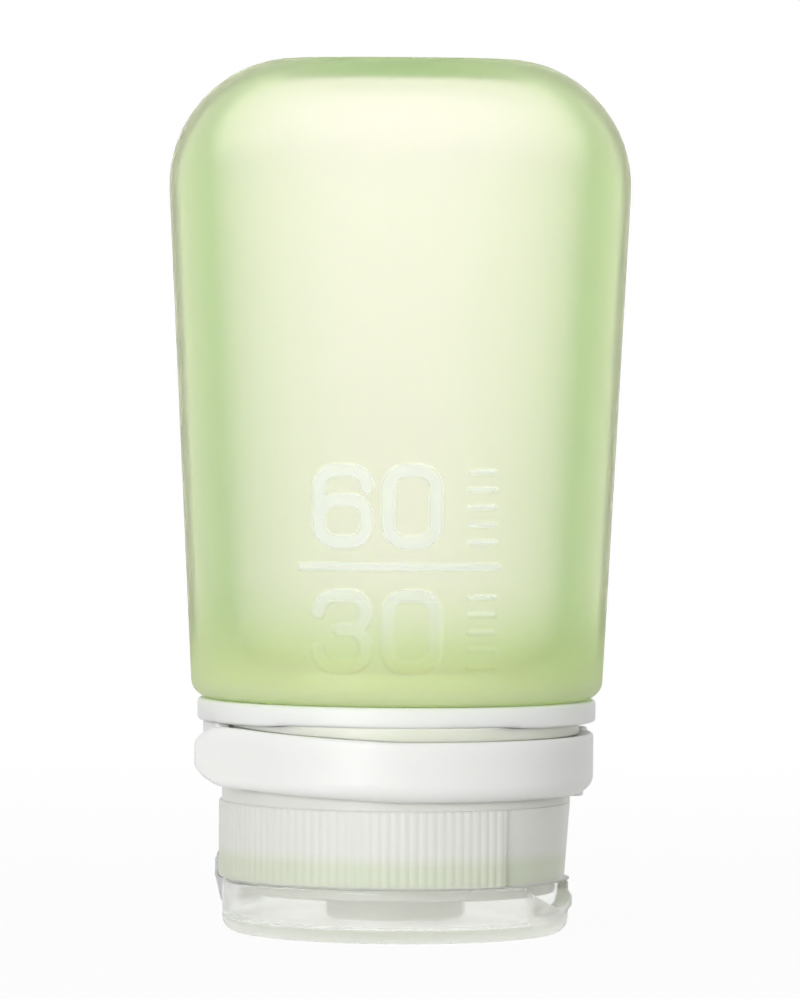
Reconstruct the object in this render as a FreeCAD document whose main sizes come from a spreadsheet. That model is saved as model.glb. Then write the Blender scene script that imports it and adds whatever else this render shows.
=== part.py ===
import FreeCAD, Part
import math
import os
import re

import Sketcher

# A soft squeeze bottle for travel, standing upside down on its flip lid.
# Millimetres, +Z up, origin at the middle of the lid's outer face, front towards -Y.
# Bearings are turned about +Z. The cap, lid, strap and valve share one frame of their own,
# with the thumb notch towards +X and the lid's hinge towards -X, and hinge_turn sets it.

SIZES = {
    # Silicone body: widths are full widths as seen from the front
    "shoulder_wide": 43.3,
    "crown_spread": 49.3,
    "body_tall": 66.4,
    "body_depth_share": 0.88,
    "body_wall": 2.3,
    "shoulder_wall": 3.2,
    "crown_round": 13.2,
    "crown_trim": 0.05,
    "shoulder_round": 2.0,
    "mouth_radius": 11.7,
    "neck_wall": 1.8,
    "lip_reach": 1.5,
    "lip_thick": 2.0,
    "lip_bevel": 0.4,
    # Collar: flange under the body, threaded neck, latch lug and hinge boss
    "flange_margin": 0.2,
    "flange_thick": 2.3,
    "flange_round": 0.3,
    "neck_fit": 0.1,
    "collar_wall": 2.0,
    "collar_reach": 13.9,
    "lug_thick": 1.6,
    "lug_gap": 0.4,
    "lug_drop": 6.6,
    "lug_bearing": 170.0,
    "lug_sweep": 33.0,
    "hinge_boss_radius": 1.6,
    "hinge_gap": 0.3,
    # Screw thread of collar and cap
    "thread_pitch": 4.0,
    "thread_rise": 0.9,
    "thread_root_wide": 1.6,
    "thread_crest_wide": 0.8,
    "thread_bed": 0.2,
    "thread_gap": 0.3,
    "thread_lead": 1.8,
    "collar_turns": 1.5,
    "cap_turns": 1.25,
    # Screw cap
    "skirt_wall": 1.3,
    "skirt_gap": 0.4,
    "grip_step": 0.3,
    "grip_tall": 8.0,
    "rib_depth": 0.25,
    "rib_count": 102,
    "rib_open_share": 0.62,
    "deck_thick": 1.7,
    "plateau_rise": 1.4,
    "seal_gap": 0.1,
    "seal_clear": 0.3,
    "scoop_depth": 0.6,
    "scoop_sweep": 54.0,
    # Spout, valve and the ring that holds it
    "orifice_radius": 4.2,
    "seat_radius": 6.2,
    "boss_wall": 0.95,
    "boss_gap": 0.5,
    "boss_floor": 1.1,
    "valve_fit": 0.05,
    "valve_gap": 0.05,
    "valve_thick": 0.8,
    "valve_web": 0.4,
    "valve_rim": 2.0,
    "slit_wide": 0.16,
    "slit_reach": 2.6,
    "retainer_wall": 1.6,
    "retainer_inset": 0.15,
    # Flip lid
    "lid_inset": 0.4,
    "lid_wall": 1.1,
    "lid_floor": 1.4,
    "lid_tall": 5.5,
    "lid_clear": 0.3,
    "lid_edge_round": 1.6,
    "lid_inner_round": 0.8,
    "part_gap": 0.2,
    "plug_clear": 0.3,
    "plug_reach": 0.6,
    "plug_wall": 0.8,
    "notch_wide": 11.6,
    "notch_deep": 2.3,
    "thumb_reach": 0.6,
    "thumb_thick": 1.0,
    "thumb_rise": 0.5,
    "thumb_sweep": 34.0,
    # Strap of the lid's film hinge
    "hinge_turn": 22.0,
    "strap_wide": 7.0,
    "strap_clear": 0.2,
    "strap_sink": 0.8,
    "strap_leg": 0.7,
    "strap_drop": 2.9,
    "strap_climb": 3.1,
    "bow_low_share": 0.05,
    "bow_high_share": 0.5,
    "film_radius": 0.5,
    "film_thick": 0.4,
    # Hanging loop and its pin
    "arm_clear": 0.3,
    "arm_thick": 2.1,
    "arm_tall": 6.4,
    "arm_gap": 1.0,
    "arm_sweep": 152.0,
    "arm_round": 1.9,
    "tab_overhang": 0.444,
    "tab_round": 3.0,
    "pin_turn": 22.0,
    "pin_radius": 0.6,
    "pin_fit": 0.05,
    "pin_cover": 0.6,
    "pin_head_radius": 1.1,
    "pin_head_thick": 0.8,
    "pin_head_gap": 0.1,
    "knuckle_radius": 1.5,
    # How far a cut runs past the solid that it cuts
    "overrun": 1.0,
}

# Places and sizes that follow from those above, heights measured from the floor
PLACES = {
    "cap_base": "lid_tall + part_gap",
    "plateau_face": "cap_base - plateau_rise",
    "deck_inner": "plateau_face + deck_thick",
    "lip_end": "deck_inner + seal_gap",
    "collar_end": "lip_end + lip_thick",
    "flange_low": "collar_end + collar_reach",
    "shoulder_place": "flange_low + flange_thick",
    "shoulder_inner": "shoulder_place + shoulder_wall",
    "crown_place": "shoulder_place + body_tall",
    "skin_top": "crown_place + crown_trim",
    "hollow_top": "crown_place - body_wall",
    "hollow_round": "crown_round - body_wall",
    "side_slope": "(crown_spread - shoulder_wide) / 2 / body_tall",
    "skin_top_radius": "crown_spread / 2 + side_slope * crown_trim",
    "hollow_crown": "crown_spread / 2 - body_wall",
    "hollow_low_radius": "shoulder_wide / 2 + side_slope * shoulder_wall - body_wall",
    "hollow_top_radius": "hollow_crown - side_slope * body_wall",
    "hollow_depth_share": "(body_depth_share * crown_spread / 2 - body_wall) / hollow_crown",
    "neck_radius": "mouth_radius + neck_wall",
    "lip_radius": "neck_radius + lip_reach",
    "collar_bore": "neck_radius + neck_fit",
    "collar_root": "collar_bore + collar_wall",
    "collar_crest": "collar_root + thread_rise",
    "cap_crest": "collar_root + thread_gap",
    "skirt_bore": "collar_crest + thread_gap",
    "skirt_radius": "skirt_bore + skirt_wall",
    "grip_radius": "skirt_radius + grip_step",
    "grip_top": "cap_base + grip_tall",
    "skirt_end": "flange_low - skirt_gap",
    "seal_bore": "lip_radius + seal_clear",
    "seal_top": "collar_end - seal_clear",
    "rib_step": "(360 - scoop_sweep) / rib_count",
    "rib_half": "pi * grip_radius * rib_step / 360 * rib_open_share",
    "collar_thread_mid": "collar_end + thread_lead",
    "cap_thread_mid": "collar_thread_mid + thread_pitch / 2 - thread_pitch * hinge_turn / 360",
    "lid_radius": "grip_radius - lid_inset",
    "lid_bore": "lid_radius - lid_wall",
    "plateau_radius": "lid_bore - lid_clear",
    "boss_radius": "seat_radius + boss_wall",
    "boss_tip": "lid_floor + boss_gap",
    "seat_floor": "boss_tip + boss_floor",
    "valve_top": "seat_floor + valve_thick",
    "valve_radius": "seat_radius - valve_fit",
    "retainer_low": "valve_top + valve_gap",
    "retainer_top": "deck_inner - retainer_inset",
    "plug_radius": "orifice_radius - plug_clear",
    "plug_top": "boss_tip + plug_reach",
    "notch_radius": "(notch_wide^2 / 4 + notch_deep^2) / 2 / notch_deep",
    "notch_low": "lid_tall - notch_deep",
    "hinge_place": "cap_base - part_gap / 2",
    "strap_low": "hinge_place - strap_drop",
    "strap_high": "hinge_place + strap_climb",
    "strap_face": "grip_radius - strap_sink",
    "strap_back": "strap_face + strap_leg",
    "hinge_reach": "strap_face + film_radius",
    "strap_crest": "hinge_reach + film_radius + film_thick",
    "arm_inner": "skirt_radius + arm_clear",
    "arm_outer": "arm_inner + arm_thick",
    "flange_wide": "2 * (arm_outer + flange_margin)",
    "arm_turn": "arm_sweep - pin_turn",
    "tab_reach": "(flange_wide / 2 + tab_overhang + arm_outer * cos(arm_turn)) / sin(arm_turn)",
    "arm_top": "flange_low - arm_gap",
    "arm_low": "arm_top - arm_tall",
    "lug_inner": "skirt_radius + lug_gap",
    "pin_reach": "skirt_radius + arm_clear + hinge_boss_radius",
    "pin_top": "shoulder_place - pin_cover",
    "pin_head_top": "arm_low - pin_head_gap",
    "hinge_boss_low": "arm_top + hinge_gap",
}

PIN_PLACE = ("pin_reach * cos(pin_turn)", "pin_reach * sin(pin_turn)")
QUARTER_TURN = 90.0
UPRIGHT = {"XY_Plane": FreeCAD.Vector(0, 0, 1), "XZ_Plane": FreeCAD.Vector(0, 1, 0)}
PITCH_AND_HEIGHT = 0
SAME_PLACE = 1e-5

doc = FreeCAD.newDocument("travel_bottle")
sheet = doc.addObject("Spreadsheet::Sheet", "Sizes")


def fill_sheet():
    """Puts each size, and each place that follows from the sizes, into a cell with an alias."""
    cells = [(name, str(size)) for name, size in SIZES.items()]
    cells += [(name, "=" + formula) for name, formula in PLACES.items()]
    for row, (name, content) in enumerate(cells, start=1):
        sheet.set(f"A{row}", name)
        sheet.setAlias(f"B{row}", name)
        sheet.set(f"B{row}", content)
    doc.recompute()


def bound(formula):
    """A formula on the sheet's names, written so that any object of the document can use it."""
    names = SIZES.keys() | PLACES.keys()
    return re.sub(r"[a-z_]+", lambda word: ("Sizes." if word[0] in names else "") + word[0], formula)


def value(formula):
    """The number that a formula on the sheet's names gives now."""
    return float(sheet.evalExpression(bound(formula)))


def bind(thing, **formulas):
    """Binds properties of an object to formulas, with __ for the dots of a property's path."""
    for name, formula in formulas.items():
        thing.setExpression(name.replace("__", "."), bound(formula))


def new_body(name):
    """An empty body whose label names its file."""
    body = doc.addObject("PartDesign::Body", name)
    body.Label = name
    return body


def turn_body(body, axis, formula):
    """Turns a body about the upright axis by an angle from the sheet."""
    body.Placement = FreeCAD.Placement(FreeCAD.Vector(), FreeCAD.Rotation(axis, value(formula)))
    bind(body, Placement__Rotation__Angle=formula)


def origin_of(body, role):
    """One of the body's own origin planes or axes."""
    return next(item for item in body.Origin.OriginFeatures if item.Role == role)


def new_sketch(body, name, plane, lift=None, turn=None):
    """A sketch on an origin plane, raised by lift or turned about the plane's upright by turn."""
    sketch = body.newObject("Sketcher::SketchObject", name)
    sketch.AttachmentSupport = [(origin_of(body, plane), "")]
    sketch.MapMode = "FlatFace"
    if lift:
        bind(sketch, AttachmentOffset__Base__z=lift)
    if turn:
        turned = FreeCAD.Rotation(UPRIGHT[plane], value(turn))
        sketch.AttachmentOffset = FreeCAD.Placement(sketch.AttachmentOffset.Base, turned)
        bind(sketch, AttachmentOffset__Rotation__Angle=turn)
    return sketch


def hold_point(sketch, item, end, across, up):
    """Holds one point of a sketch at two formulas, measured from the sketch's origin."""
    for kind, formula, axis in (("DistanceX", across, -2), ("DistanceY", up, -1)):
        if formula == "0":
            sketch.addConstraint(Sketcher.Constraint("PointOnObject", item, end, axis))
        else:
            rule = Sketcher.Constraint(kind, -1, 1, item, end, value(formula))
            number = sketch.addConstraint(rule)
            bind(sketch, **{f"Constraints[{number}]": formula})


def polygon(body, name, plane, corners, **place):
    """A closed outline of straight lines through corners, each a pair of formulas."""
    sketch = new_sketch(body, name, plane, **place)
    points = [FreeCAD.Vector(value(across), value(up), 0) for across, up in corners]
    lines = []
    for begin, end in zip(points, points[1:] + points[:1]):
        lines.append(sketch.addGeometry(Part.LineSegment(begin, end)))
    for line, following in zip(lines, lines[1:] + lines[:1]):
        sketch.addConstraint(Sketcher.Constraint("Coincident", line, 2, following, 1))
    for line, (across, up) in zip(lines, corners):
        hold_point(sketch, line, 1, across, up)
    return sketch


def circle(body, name, plane, across, up, radius, **place):
    """A circle about a point given by two formulas."""
    sketch = new_sketch(body, name, plane, **place)
    middle = FreeCAD.Vector(value(across), value(up), 0)
    ring = sketch.addGeometry(Part.Circle(middle, FreeCAD.Vector(0, 0, 1), value(radius)))
    hold_point(sketch, ring, 3, across, up)
    number = sketch.addConstraint(Sketcher.Constraint("Radius", ring, value(radius)))
    bind(sketch, **{f"Constraints[{number}]": radius})
    return sketch


def ellipse(body, name, plane, wide, deep, **place):
    """An ellipse about the origin, of full widths wide along X and deep along Y."""
    sketch = new_sketch(body, name, plane, **place)
    far_side = FreeCAD.Vector(value(wide) / 2, 0, 0)
    near_side = FreeCAD.Vector(0, value(deep) / 2, 0)
    ring = sketch.addGeometry(Part.Ellipse(far_side, near_side, FreeCAD.Vector()))
    sketch.exposeInternalGeometry(ring)
    sketch.addConstraint(Sketcher.Constraint("Coincident", ring, 3, -1, 1))
    sketch.addConstraint(Sketcher.Constraint("Horizontal", ring + 1))
    for axis, width in ((ring + 1, wide), (ring + 2, deep)):
        number = sketch.addConstraint(Sketcher.Constraint("Distance", axis, value(width)))
        bind(sketch, **{f"Constraints[{number}]": width})
    return sketch


def feature(body, kind, name, sketch, **settings):
    """A feature of the body made from a sketch. Settings that are formulas are bound."""
    made = body.newObject("PartDesign::" + kind, name)
    made.Profile = sketch
    for setting, content in settings.items():
        if isinstance(content, str):
            bind(made, **{setting: content})
        else:
            setattr(made, setting, content)
    doc.recompute()
    return made


def revolve(body, name, sketch, **settings):
    """The sketch turned about the upright axis, all the way round unless an Angle is given."""
    return feature(body, "Revolution", name, sketch, ReferenceAxis=(sketch, ["V_Axis"]), **settings)


def round_edges(body, name, wanted, radius):
    """Rounds the edges of the body's last feature that the test picks."""
    base = body.Tip
    chosen = [f"Edge{i}" for i, edge in enumerate(base.Shape.Edges, start=1) if wanted(edge)]
    rounding = body.newObject("PartDesign::Fillet", name)
    rounding.Base = (base, chosen)
    bind(rounding, Radius=radius)
    doc.recompute()
    return rounding


def near(number, formula):
    """Whether a measured number is what the formula gives."""
    return math.isclose(number, value(formula), abs_tol=SAME_PLACE)


def ring_edge(radius, height):
    """A test that picks the round edges of one radius at one height."""

    def wanted(edge):
        curve = edge.Curve
        return isinstance(curve, Part.Circle) and near(curve.Radius, radius) and near(curve.Center.z, height)

    return wanted


def doubled(name, source, normal):
    """A solid joined to its mirror image in the plane through the origin across normal."""
    image = doc.addObject("Part::Mirroring", name + "_image")
    image.Source = source
    image.Normal = normal
    both = doc.addObject("Part::Fuse", name)
    both.Base = source
    both.Tool = image
    both.Refine = False
    doc.recompute()
    return both


def oval(name, low, low_radius, top, top_radius, top_round, depth_share, low_round=None):
    """A rounded solid of oval section: a quarter turn, squeezed front to back and mirrored twice."""
    body = new_body(name + "_turn")
    corners = [("0", low), (low_radius, low), (top_radius, top), ("0", top)]
    profile = polygon(body, name + "_profile", "XZ_Plane", corners)
    revolve(body, name + "_quarter", profile, Angle=QUARTER_TURN)
    round_edges(body, name + "_top_round", ring_edge(top_radius, top), top_round)
    if low_round:
        round_edges(body, name + "_low_round", ring_edge(low_radius, low), low_round)
    squeezed = doc.addObject("Part::Scale", name + "_squeezed")
    squeezed.Base = body
    squeezed.Uniform = False
    bind(squeezed, YScale=depth_share)
    half = doubled(name + "_half", squeezed, FreeCAD.Vector(1, 0, 0))
    return doubled(name, half, FreeCAD.Vector(0, 1, 0))


def make_squeeze_body():
    """The silicone body: an oval shell with a flat crown, a round neck and a lip over the collar."""
    skin = oval(
        "skin", "shoulder_place", "shoulder_wide / 2", "skin_top", "skin_top_radius",
        "crown_round", "body_depth_share", low_round="shoulder_round",
    )
    hollow = oval(
        "hollow", "shoulder_inner", "hollow_low_radius", "hollow_top", "hollow_top_radius",
        "hollow_round", "hollow_depth_share",
    )
    neck = new_body("neck")
    corners = [
        ("0", "lip_end"),
        ("lip_radius - lip_bevel", "lip_end"),
        ("lip_radius", "lip_end + lip_bevel"),
        ("lip_radius", "collar_end"),
        ("neck_radius", "collar_end"),
        ("neck_radius", "shoulder_inner"),
        ("0", "shoulder_inner"),
    ]
    revolve(neck, "neck_turned", polygon(neck, "neck_profile", "XZ_Plane", corners))
    mouth = doc.addObject("Part::Cylinder", "mouth")
    bind(
        mouth, Radius="mouth_radius", Placement__Base__z="lip_end - overrun",
        Height="shoulder_inner - lip_end + 2 * overrun",
    )
    outside = doc.addObject("Part::Fuse", "outside")
    outside.Base = skin
    outside.Tool = neck
    inside = doc.addObject("Part::Fuse", "inside")
    inside.Base = hollow
    inside.Tool = mouth
    above = doc.addObject("Part::Box", "above_crown")
    bind(
        above, Length="2 * crown_spread", Width="2 * crown_spread", Height="overrun",
        Placement__Base__x="-crown_spread", Placement__Base__y="-crown_spread",
        Placement__Base__z="crown_place",
    )
    trimmed = doc.addObject("Part::Cut", "trimmed")
    trimmed.Base = outside
    trimmed.Tool = above
    shell = doc.addObject("Part::Cut", "squeeze_body")
    shell.Base = trimmed
    shell.Tool = inside
    for joined in (outside, inside, trimmed, shell):
        joined.Refine = False


def add_thread(body, name, bed, crest, middle, turns):
    """A screw thread of trapezoid section, from its bed in the wall to its crest."""
    corners = [
        (bed, f"{middle} - thread_root_wide / 2"),
        (crest, f"{middle} - thread_crest_wide / 2"),
        (crest, f"{middle} + thread_crest_wide / 2"),
        (bed, f"{middle} + thread_root_wide / 2"),
    ]
    profile = polygon(body, name + "_profile", "XZ_Plane", corners)
    upright = (origin_of(body, "Z_Axis"), [""])
    feature(
        body, "AdditiveHelix", name, profile, ReferenceAxis=upright, Mode=PITCH_AND_HEIGHT,
        Pitch="thread_pitch", Height=f"thread_pitch * {turns}",
    )


def make_collar():
    """The collar: an oval flange under the body, a threaded neck, a latch lug and a hinge boss."""
    body = new_body("collar")
    outline = ellipse(
        body, "flange_outline", "XY_Plane", "flange_wide", "flange_wide * body_depth_share",
        lift="flange_low",
    )
    feature(body, "Pad", "flange", outline, Length="flange_thick")
    round_edges(body, "flange_edge_round", lambda edge: isinstance(edge.Curve, Part.Ellipse), "flange_round")
    corners = [
        ("0", "collar_end"),
        ("collar_root", "collar_end"),
        ("collar_root", "shoulder_place"),
        ("0", "shoulder_place"),
    ]
    revolve(body, "collar_neck", polygon(body, "collar_neck_profile", "XZ_Plane", corners))
    lug_corners = [
        ("lug_inner", "flange_low - lug_drop"),
        ("lug_inner + lug_thick", "flange_low - lug_drop"),
        ("lug_inner + lug_thick", "flange_low + flange_thick / 2"),
        ("lug_inner", "flange_low + flange_thick / 2"),
    ]
    lug = polygon(body, "lug_profile", "XZ_Plane", lug_corners, turn="lug_bearing")
    revolve(body, "latch_lug", lug, Angle="lug_sweep")
    boss = circle(body, "boss_outline", "XY_Plane", *PIN_PLACE, "hinge_boss_radius", lift="hinge_boss_low")
    feature(body, "Pad", "hinge_boss", boss, Length="shoulder_place - hinge_boss_low")
    hole = circle(body, "pin_hole_outline", "XY_Plane", *PIN_PLACE, "pin_radius", lift="hinge_boss_low")
    feature(body, "Pocket", "pin_hole", hole, Length="pin_top - hinge_boss_low", Reversed=True)
    bore = circle(body, "bore_outline", "XY_Plane", "0", "0", "collar_bore", lift="shoulder_place")
    feature(body, "Pocket", "collar_bore_cut", bore, Length="shoulder_place - collar_end + overrun")
    add_thread(
        body, "collar_thread", "collar_root - thread_bed", "collar_crest", "collar_thread_mid",
        "collar_turns",
    )


def make_loop_hinge_pin():
    """The headed pin that the loop swings on, pressed into the collar's boss."""
    body = new_body("loop_hinge_pin")
    corners = [
        ("0", "pin_head_top - pin_head_thick"),
        ("pin_head_radius", "pin_head_top - pin_head_thick"),
        ("pin_head_radius", "pin_head_top"),
        ("pin_radius", "pin_head_top"),
        ("pin_radius", "pin_top"),
        ("0", "pin_top"),
    ]
    revolve(body, "pin_turned", polygon(body, "pin_profile", "XZ_Plane", corners))
    bind(body, Placement__Base__x=PIN_PLACE[0], Placement__Base__y=PIN_PLACE[1])


def make_hanging_loop():
    """The loop: a curved arm round the front of the cap, a knuckle on the pin and a straight pull tab."""
    body = new_body("hanging_loop")
    section = [
        ("arm_inner", "arm_low"),
        ("arm_outer", "arm_low"),
        ("arm_outer", "arm_top"),
        ("arm_inner", "arm_top"),
    ]
    revolve(body, "arm", polygon(body, "arm_section", "XZ_Plane", section), Angle="arm_sweep")
    corners = [
        ("arm_inner", "0"),
        ("arm_outer", "0"),
        ("arm_outer", "-tab_reach"),
        ("arm_inner", "-tab_reach"),
    ]
    tab = polygon(body, "tab_outline", "XY_Plane", corners, lift="arm_low")
    feature(body, "Pad", "pull_tab", tab, Length="arm_tall")

    def tab_end(edge):
        box = edge.BoundBox
        return near(box.YMin, "-tab_reach") and near(box.YMax, "-tab_reach") and near(box.ZLength, "0")

    round_edges(body, "tab_end_round", tab_end, "tab_round")

    def low_outer(edge):
        box = edge.BoundBox
        along_arm = isinstance(edge.Curve, Part.Circle) and near(edge.Curve.Radius, "arm_outer")
        along_tab = near(box.XMin, "arm_outer") and near(box.XMax, "arm_outer") and near(box.ZLength, "0")
        return near(box.ZMin, "arm_low") and (along_arm or along_tab)

    round_edges(body, "arm_low_round", low_outer, "arm_round")
    knuckle_place = ("pin_reach * cos(arm_sweep)", "pin_reach * sin(arm_sweep)")
    knuckle = circle(body, "knuckle_outline", "XY_Plane", *knuckle_place, "knuckle_radius", lift="arm_low")
    feature(body, "Pad", "knuckle", knuckle, Length="arm_tall")
    hole = circle(body, "eye_outline", "XY_Plane", *knuckle_place, "pin_radius + pin_fit", lift="arm_top")
    feature(body, "Pocket", "eye", hole, Length="arm_tall + overrun")
    turn_body(body, FreeCAD.Vector(0, 0, -1), "arm_turn")


def cut_strap_seat(body, outside, half, low, high):
    """A flat seat for the hinge strap, cut into the side of the cap or the lid."""
    corners = [
        ("-strap_face", f"-({half})"),
        (f"-({outside} + overrun)", f"-({half})"),
        (f"-({outside} + overrun)", half),
        ("-strap_face", half),
    ]
    seat = polygon(body, body.Name + "_seat_outline", "XY_Plane", corners, lift=low)
    feature(body, "Pocket", body.Name + "_strap_seat", seat, Length=f"{high} - ({low})", Reversed=True)


def make_screw_cap():
    """The screw cap: ribbed grip, plain skirt, inner thread, deck with a spout and a seat for the valve."""
    body = new_body("screw_cap")
    corners = [
        ("orifice_radius", "boss_tip"),
        ("boss_radius", "boss_tip"),
        ("boss_radius", "plateau_face"),
        ("plateau_radius", "plateau_face"),
        ("plateau_radius", "cap_base"),
        ("grip_radius", "cap_base"),
        ("grip_radius", "grip_top"),
        ("skirt_radius", "grip_top"),
        ("skirt_radius", "skirt_end"),
        ("skirt_bore", "skirt_end"),
        ("skirt_bore", "seal_top"),
        ("seal_bore", "seal_top"),
        ("seal_bore", "deck_inner"),
        ("seat_radius", "deck_inner"),
        ("seat_radius", "seat_floor"),
        ("orifice_radius", "seat_floor"),
    ]
    revolve(body, "cap_wall", polygon(body, "cap_profile", "XZ_Plane", corners))
    add_thread(body, "cap_thread", "skirt_bore + thread_bed", "cap_crest", "cap_thread_mid", "cap_turns")
    scoop_corners = [
        ("grip_radius - scoop_depth", "cap_base"),
        ("grip_radius + overrun", "cap_base"),
        ("grip_radius + overrun", "grip_top"),
        ("grip_radius - rib_depth", "grip_top"),
    ]
    scoop = polygon(body, "scoop_profile", "XZ_Plane", scoop_corners)
    upright = (scoop, ["V_Axis"])
    feature(body, "Groove", "thumb_scoop", scoop, ReferenceAxis=upright, Angle="scoop_sweep", Midplane=True)
    seat_half = "strap_wide / 2 + strap_clear"
    cut_strap_seat(body, "grip_radius", seat_half, "cap_base", "strap_high + strap_clear")
    rib_corners = [
        ("grip_radius - rib_depth", "0"),
        ("grip_radius + rib_depth", "2 * rib_half"),
        ("grip_radius + rib_depth", "-2 * rib_half"),
    ]
    furrow = polygon(
        body, "furrow_outline", "XY_Plane", rib_corners, lift="cap_base", turn="(scoop_sweep + rib_step) / 2"
    )
    cut = feature(body, "Pocket", "furrow", furrow, Length="grip_tall", Reversed=True)
    ribs = body.newObject("PartDesign::PolarPattern", "grip_ribs")
    ribs.Originals = [cut]
    ribs.Axis = (origin_of(body, "Z_Axis"), [""])
    bind(ribs, Angle="360 - scoop_sweep - rib_step", Occurrences="rib_count")
    body.Tip = ribs
    doc.recompute()
    turn_body(body, FreeCAD.Vector(0, 0, -1), "hinge_turn")


def make_drip_valve():
    """The soft valve in the spout: a flange with a thin web that a cross slit opens."""
    body = new_body("drip_valve")
    corners = [
        ("0", "seat_floor"),
        ("valve_radius", "seat_floor"),
        ("valve_radius", "valve_top"),
        ("valve_radius - valve_rim", "valve_top"),
        ("valve_radius - valve_rim", "seat_floor + valve_web"),
        ("0", "seat_floor + valve_web"),
    ]
    revolve(body, "valve_turned", polygon(body, "valve_profile", "XZ_Plane", corners))
    far, half = "slit_reach", "slit_wide / 2"
    cross = [
        (far, f"-{half}"), (far, half), (half, half), (half, far), (f"-{half}", far), (f"-{half}", half),
        (f"-{far}", half), (f"-{far}", f"-{half}"), (f"-{half}", f"-{half}"), (f"-{half}", f"-{far}"),
        (half, f"-{far}"), (half, f"-{half}"),
    ]
    slit = polygon(body, "slit_outline", "XY_Plane", cross, lift="seat_floor")
    feature(body, "Pocket", "cross_slit", slit, Length="valve_web + overrun", Reversed=True)
    turn_body(body, FreeCAD.Vector(0, 0, -1), "hinge_turn")


def make_valve_retainer():
    """The ring that holds the valve down on its seat."""
    body = new_body("valve_retainer")
    corners = [
        ("valve_radius - retainer_wall", "retainer_low"),
        ("valve_radius", "retainer_low"),
        ("valve_radius", "retainer_top"),
        ("valve_radius - retainer_wall", "retainer_top"),
    ]
    revolve(body, "retainer_turned", polygon(body, "retainer_profile", "XZ_Plane", corners))


def make_flip_lid():
    """The lid: a shallow dish with a plug for the spout, a thumb notch with a lip and a strap seat."""
    body = new_body("flip_lid")
    corners = [
        ("0", "0"),
        ("lid_radius", "0"),
        ("lid_radius", "lid_tall"),
        ("lid_bore", "lid_tall"),
        ("lid_bore", "lid_floor"),
        ("plug_radius", "lid_floor"),
        ("plug_radius", "plug_top"),
        ("plug_radius - plug_wall", "plug_top"),
        ("plug_radius - plug_wall", "lid_floor"),
        ("0", "lid_floor"),
    ]
    revolve(body, "dish", polygon(body, "dish_profile", "XZ_Plane", corners))
    round_edges(body, "lid_edge_rounding", ring_edge("lid_radius", "0"), "lid_edge_round")
    round_edges(body, "lid_inner_rounding", ring_edge("lid_bore", "lid_floor"), "lid_inner_round")
    lip_corners = [
        ("lid_radius - lid_wall / 2", "notch_low - thumb_thick"),
        ("lid_radius", "notch_low - thumb_thick"),
        ("lid_radius + thumb_reach", "notch_low"),
        ("lid_radius + thumb_reach", "notch_low + thumb_rise"),
        ("lid_radius - lid_wall / 2", "notch_low + thumb_rise"),
    ]
    lip = polygon(body, "thumb_lip_profile", "XZ_Plane", lip_corners)
    revolve(body, "thumb_lip", lip, Angle="thumb_sweep", Midplane=True)
    notch = circle(body, "notch_outline", "YZ_Plane", "0", "notch_low + notch_radius", "notch_radius")
    feature(body, "Pocket", "thumb_notch", notch, Length="lid_radius + thumb_reach + overrun", Reversed=True)
    seat_half = "strap_wide / 2 + strap_clear + overrun"
    cut_strap_seat(body, "lid_radius", seat_half, "strap_low - strap_clear", "lid_tall + overrun")
    turn_body(body, FreeCAD.Vector(0, 0, -1), "hinge_turn")


def make_lid_hinge_strap():
    """The bowed strap that joins lid and cap, thinned to a film on the hinge line."""
    body = new_body("lid_hinge_strap")
    corners = [
        ("-strap_face", "strap_low"),
        ("-strap_back", "strap_low"),
        ("-strap_crest", "hinge_place - strap_drop * bow_low_share"),
        ("-strap_crest", "hinge_place + strap_climb * bow_high_share"),
        ("-strap_back", "strap_high"),
        ("-strap_face", "strap_high"),
    ]
    bow = polygon(body, "bow_profile", "XZ_Plane", corners)
    feature(body, "Pad", "bow", bow, Length="strap_wide", Midplane=True)
    groove = circle(body, "film_outline", "XZ_Plane", "-hinge_reach", "hinge_place", "film_radius")
    feature(body, "Pocket", "film_groove", groove, Length="strap_wide + overrun", Midplane=True)
    slot_corners = [
        ("-hinge_reach", "hinge_place - film_radius"),
        ("overrun - strap_face", "hinge_place - film_radius"),
        ("overrun - strap_face", "hinge_place + film_radius"),
        ("-hinge_reach", "hinge_place + film_radius"),
    ]
    slot = polygon(body, "slot_outline", "XZ_Plane", slot_corners)
    feature(body, "Pocket", "film_slot", slot, Length="strap_wide + overrun", Midplane=True)
    turn_body(body, FreeCAD.Vector(0, 0, -1), "hinge_turn")


def write_parts():
    """Checks every object of the document, then writes each sub-part to a file named by its label."""
    doc.recompute()
    for item in doc.Objects:
        if {"Invalid", "Error"} & set(item.State):
            raise RuntimeError(f"{item.Label} failed: {item.State}")
    for name in PIECES:
        shape = doc.getObjectsByLabel(name)[0].Shape
        if shape.isNull() or not shape.isValid() or len(shape.Solids) != 1:
            raise RuntimeError(f"{name} isn't one valid solid")
    os.makedirs("parts", exist_ok=True)
    for name in PIECES:
        shape = doc.getObjectsByLabel(name)[0].Shape
        shape.exportStep(f"parts/{name}.step")
        print(f"{name}: {shape.Volume:.1f} mm3")


PIECES = {
    "squeeze_body": make_squeeze_body,
    "collar": make_collar,
    "loop_hinge_pin": make_loop_hinge_pin,
    "hanging_loop": make_hanging_loop,
    "screw_cap": make_screw_cap,
    "drip_valve": make_drip_valve,
    "valve_retainer": make_valve_retainer,
    "flip_lid": make_flip_lid,
    "lid_hinge_strap": make_lid_hinge_strap,
}

fill_sheet()
for make_piece in PIECES.values():
    make_piece()
write_parts()
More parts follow.
